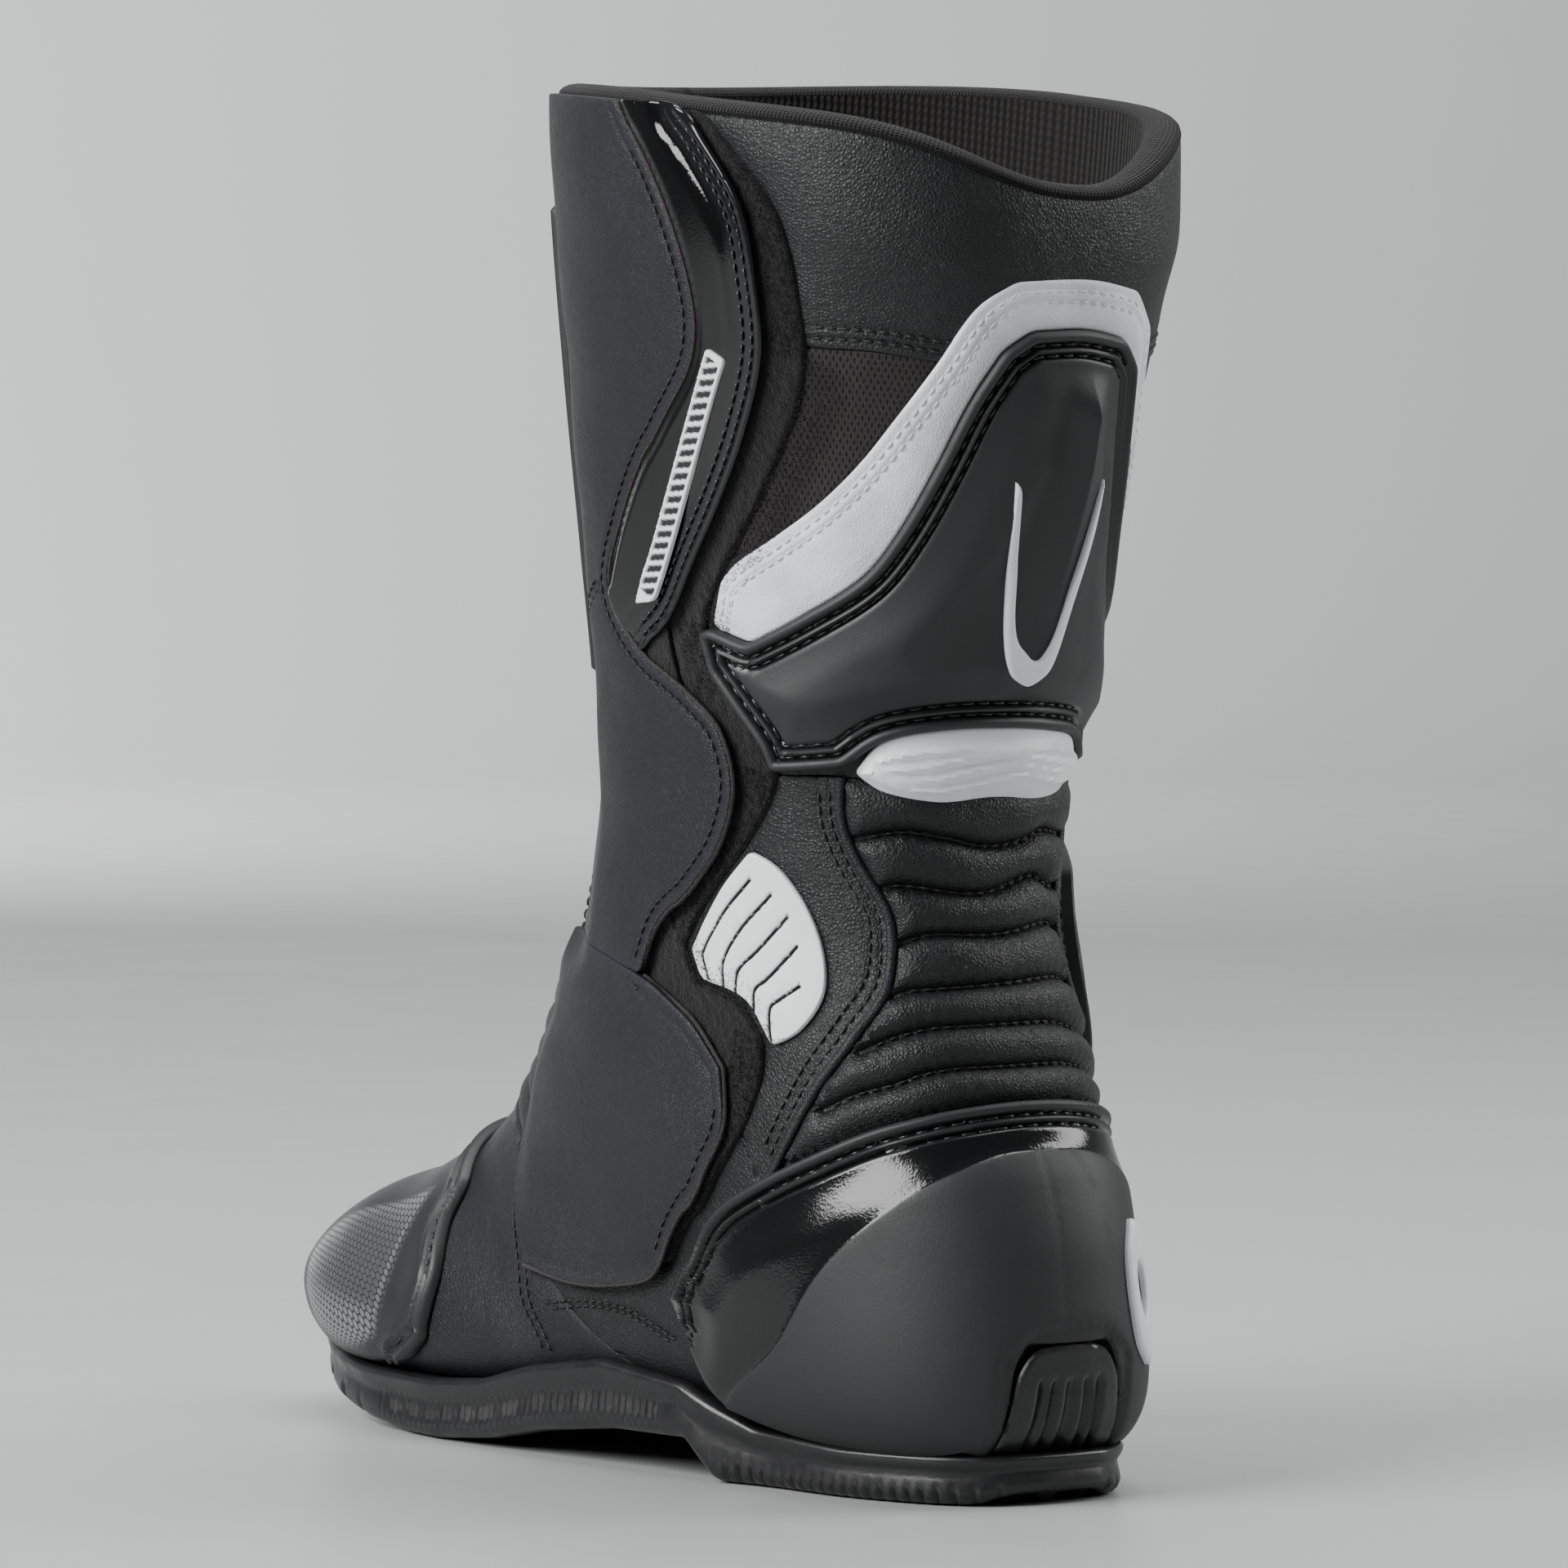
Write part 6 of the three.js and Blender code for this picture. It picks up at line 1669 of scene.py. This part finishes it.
def blend_at_hinge(obj):
    """Takes the leather off its body and fixes it where it stands; the hinge's axis and pivot are read but not
    used.
    """
    hinge = next(j for j in frame["joints"] if j["name"] == "flap_open")
    axis = np.array(hinge["axis"])
    axis /= np.linalg.norm(axis)
    pivot = np.array(hinge["pos_m"])
    back = on_surface(np.array([[70.0, 2.0]]))[0] * MM - pivot
    back -= (back @ axis) * axis
    back /= np.linalg.norm(back)
    obj.parent = None
    if "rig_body" in obj:
        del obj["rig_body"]
    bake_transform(obj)


def build_fuzz():
    """Loose pile standing up along the loop band's open edge."""
    edge = [*LOOP_UPPER, *LOOP_ANKLE, *LOOP_LOWER[:-1]]
    line = smooth_line(edge, step=0.4)
    mm = scales(line)
    count = FIBRES
    pick = RANDOM.integers(0, len(line), count)
    offset = RANDOM.uniform(-9.0, 0.3, count)
    run = unit(np.gradient(line, axis=0) * mm)
    side = np.column_stack([-run[:, 1], run[:, 0]])
    centre = np.array([88.0, 3.5])  # a place inside the band
    inward = np.sign(np.einsum("ij,ij->i", side * mm, (centre - line) * mm))
    places = line[pick] + (side * inward[:, None] / mm)[pick] * (-offset)[:, None]
    places[:, 1] = np.maximum(places[:, 1], mouth(places[:, 0]) + 0.03)
    foot = skin(places, 0.75)
    up = unit(skin(places, 1.75) - foot)
    lean = unit(RANDOM.normal(size=(count, 3)))
    length = RANDOM.uniform(0.5, 1.5, count)[:, None]
    tip = foot + unit(up + 0.9 * lean) * length
    bend = foot + unit(up + 0.2 * lean) * length * 0.55
    across = unit(np.cross(up, lean)) * 0.085
    third = unit(np.cross(across, up)) * 0.085
    points = np.stack([foot + across, foot - across, foot + third, bend + across * 0.8, bend - across * 0.8,
                       bend + third * 0.8, tip], 1).reshape(-1, 3)
    template = [(0, 1, 4, 3), (1, 2, 5, 4), (2, 0, 3, 5), (3, 4, 6), (4, 5, 6), (5, 3, 6), (2, 1, 0)]
    faces = [[7 * i + v for v in face] for i in range(count) for face in template]
    obj = make_object("loop_fibres", points, faces, PILE)
    settle(obj, "boot")


# --------------------------------------------------------------------- light and camera

FLOOR_RADIUS, COVE = 2.9, 1.0  # the flat floor and the curve up to the wall, metres
CAMERA_AZIMUTH, CAMERA_ELEVATION, CAMERA_DISTANCE = -35, 3.2, 2.5  # degrees, degrees, metres
CAMERA_TARGET = Vector((0.0036, -0.0244, 0.160))


def studio_material():
    """Pale grey paint for the floor and the wall."""
    f = Finish("studio_grey", (0.40, 0.405, 0.405), 0.38, Specular_IOR_Level=0.35)
    f.set("Roughness", f.remap(f.noise(60, 4), 0.3, 0.7, 0.34, 0.42))
    return f.material


def build_studio():
    """A round pale studio: a flat floor whose wall curves up all the way round."""
    profile = [(0.0, 0.0), (1.2, 0.0), (FLOOR_RADIUS, 0.0)]
    for step in range(1, 13):
        turn = math.pi / 2 * step / 12
        profile.append((FLOOR_RADIUS + COVE * math.sin(turn), COVE * (1 - math.cos(turn))))
    profile.append((FLOOR_RADIUS + COVE, 5.0))
    sides = 96
    points = [
        (reach * math.cos(2 * math.pi * k / sides), reach * math.sin(2 * math.pi * k / sides), height)
        for reach, height in profile[1:] for k in range(sides)
    ]
    faces = [list(range(sides))] + [
        [r * sides + k, (r + 1) * sides + k, (r + 1) * sides + (k + 1) % sides, r * sides + (k + 1) % sides]
        for r in range(len(profile) - 2) for k in range(sides)
    ]
    mesh = bpy.data.meshes.new("studio_sweep")
    mesh.from_pydata(points, [], faces)
    mesh.shade_smooth()
    mesh.materials.append(studio_material())
    sweep = bpy.data.objects.new("studio_sweep", mesh)
    bpy.context.scene.collection.objects.link(sweep)

    world = bpy.data.worlds.new("studio")
    world.use_nodes = True
    world.node_tree.nodes["Background"].inputs["Color"].default_value = (0.93, 0.96, 1.0, 1)
    world.node_tree.nodes["Background"].inputs["Strength"].default_value = 0.16
    bpy.context.scene.world = world
    heading = math.radians(CAMERA_AZIMUTH)
    away = Vector((-math.sin(heading), math.cos(heading), 0))
    right = Vector((math.cos(heading), math.sin(heading), 0))
    boot = (0, 0, 0.16)
    lights = [
        # name, where and at what: to the right, away and up; width, height, power
        ("key_softbox", (-1.5, -0.9, 1.25), boot, 1.5, 1.2, 80),
        ("top_softbox", (0.1, 0.3, 1.9), boot, 1.5, 1.1, 34),
        ("rim_softbox", (1.5, 0.3, 1.0), boot, 0.7, 1.2, 20),
        ("wall_glow", (-1.0, 2.2, 0.9), (-0.75, 3.9, 0.3), 1.0, 0.8, 62),
        ("wall_fill", (0.9, 2.0, 2.2), (0.5, 3.9, 0.6), 1.6, 1.0, 10),
    ]
    for name, place, target, width, height, power in lights:
        data = bpy.data.lights.new(name, "AREA")
        data.shape, data.size, data.size_y, data.energy = "RECTANGLE", width, height, power
        light = bpy.data.objects.new(name, data)
        light.location, aim = (right * x + away * y + Vector((0, 0, z)) for x, y, z in (place, target))
        light.rotation_euler = (aim - light.location).to_track_quat("-Z", "Y").to_euler()
        bpy.context.scene.collection.objects.link(light)


def build_camera():
    """The camera at the photograph's viewing angle."""
    data = bpy.data.cameras.new("camera")
    data.lens, data.sensor_width = 242, 36
    data.clip_end = 20
    camera = bpy.data.objects.new("camera", data)
    turn, rise = math.radians(CAMERA_AZIMUTH), math.radians(CAMERA_ELEVATION)
    back = Vector((math.sin(turn) * math.cos(rise), -math.cos(turn) * math.cos(rise), math.sin(rise)))
    camera.location = CAMERA_TARGET + back * CAMERA_DISTANCE
    camera.rotation_euler = (-back).to_track_quat("-Z", "Y").to_euler()
    bpy.context.scene.collection.objects.link(camera)
    bpy.context.scene.camera = camera


def main():
    """Builds every piece, then the threads that the pieces' stitches were collected in."""
    black = {"boot": Thread("stitches_black", THREAD), "flap": Thread("stitches_flap", THREAD, "flap")}
    waxed = {
        "boot": Thread("stitches_waxed", THREAD_WAXED), "flap": Thread("stitches_trim", THREAD_WAXED, "flap"),
    }
    white = Thread("stitches_white", THREAD_WHITE)
    build_camera()
    build_studio()
    build_inside()
    build_mouth()
    build_sole()
    build_shaft(black["boot"])
    build_ankle(black["boot"])
    build_outer_stitching(black["boot"])
    build_lobe(white)
    build_foot(black["boot"])
    build_guards(white, waxed["boot"])
    build_heel(waxed["boot"])
    build_toe(waxed["boot"])
    build_zip()
    build_flap(black, waxed)
    build_fuzz()
    for thread in (*black.values(), *waxed.values(), white):
        thread.make()


main()
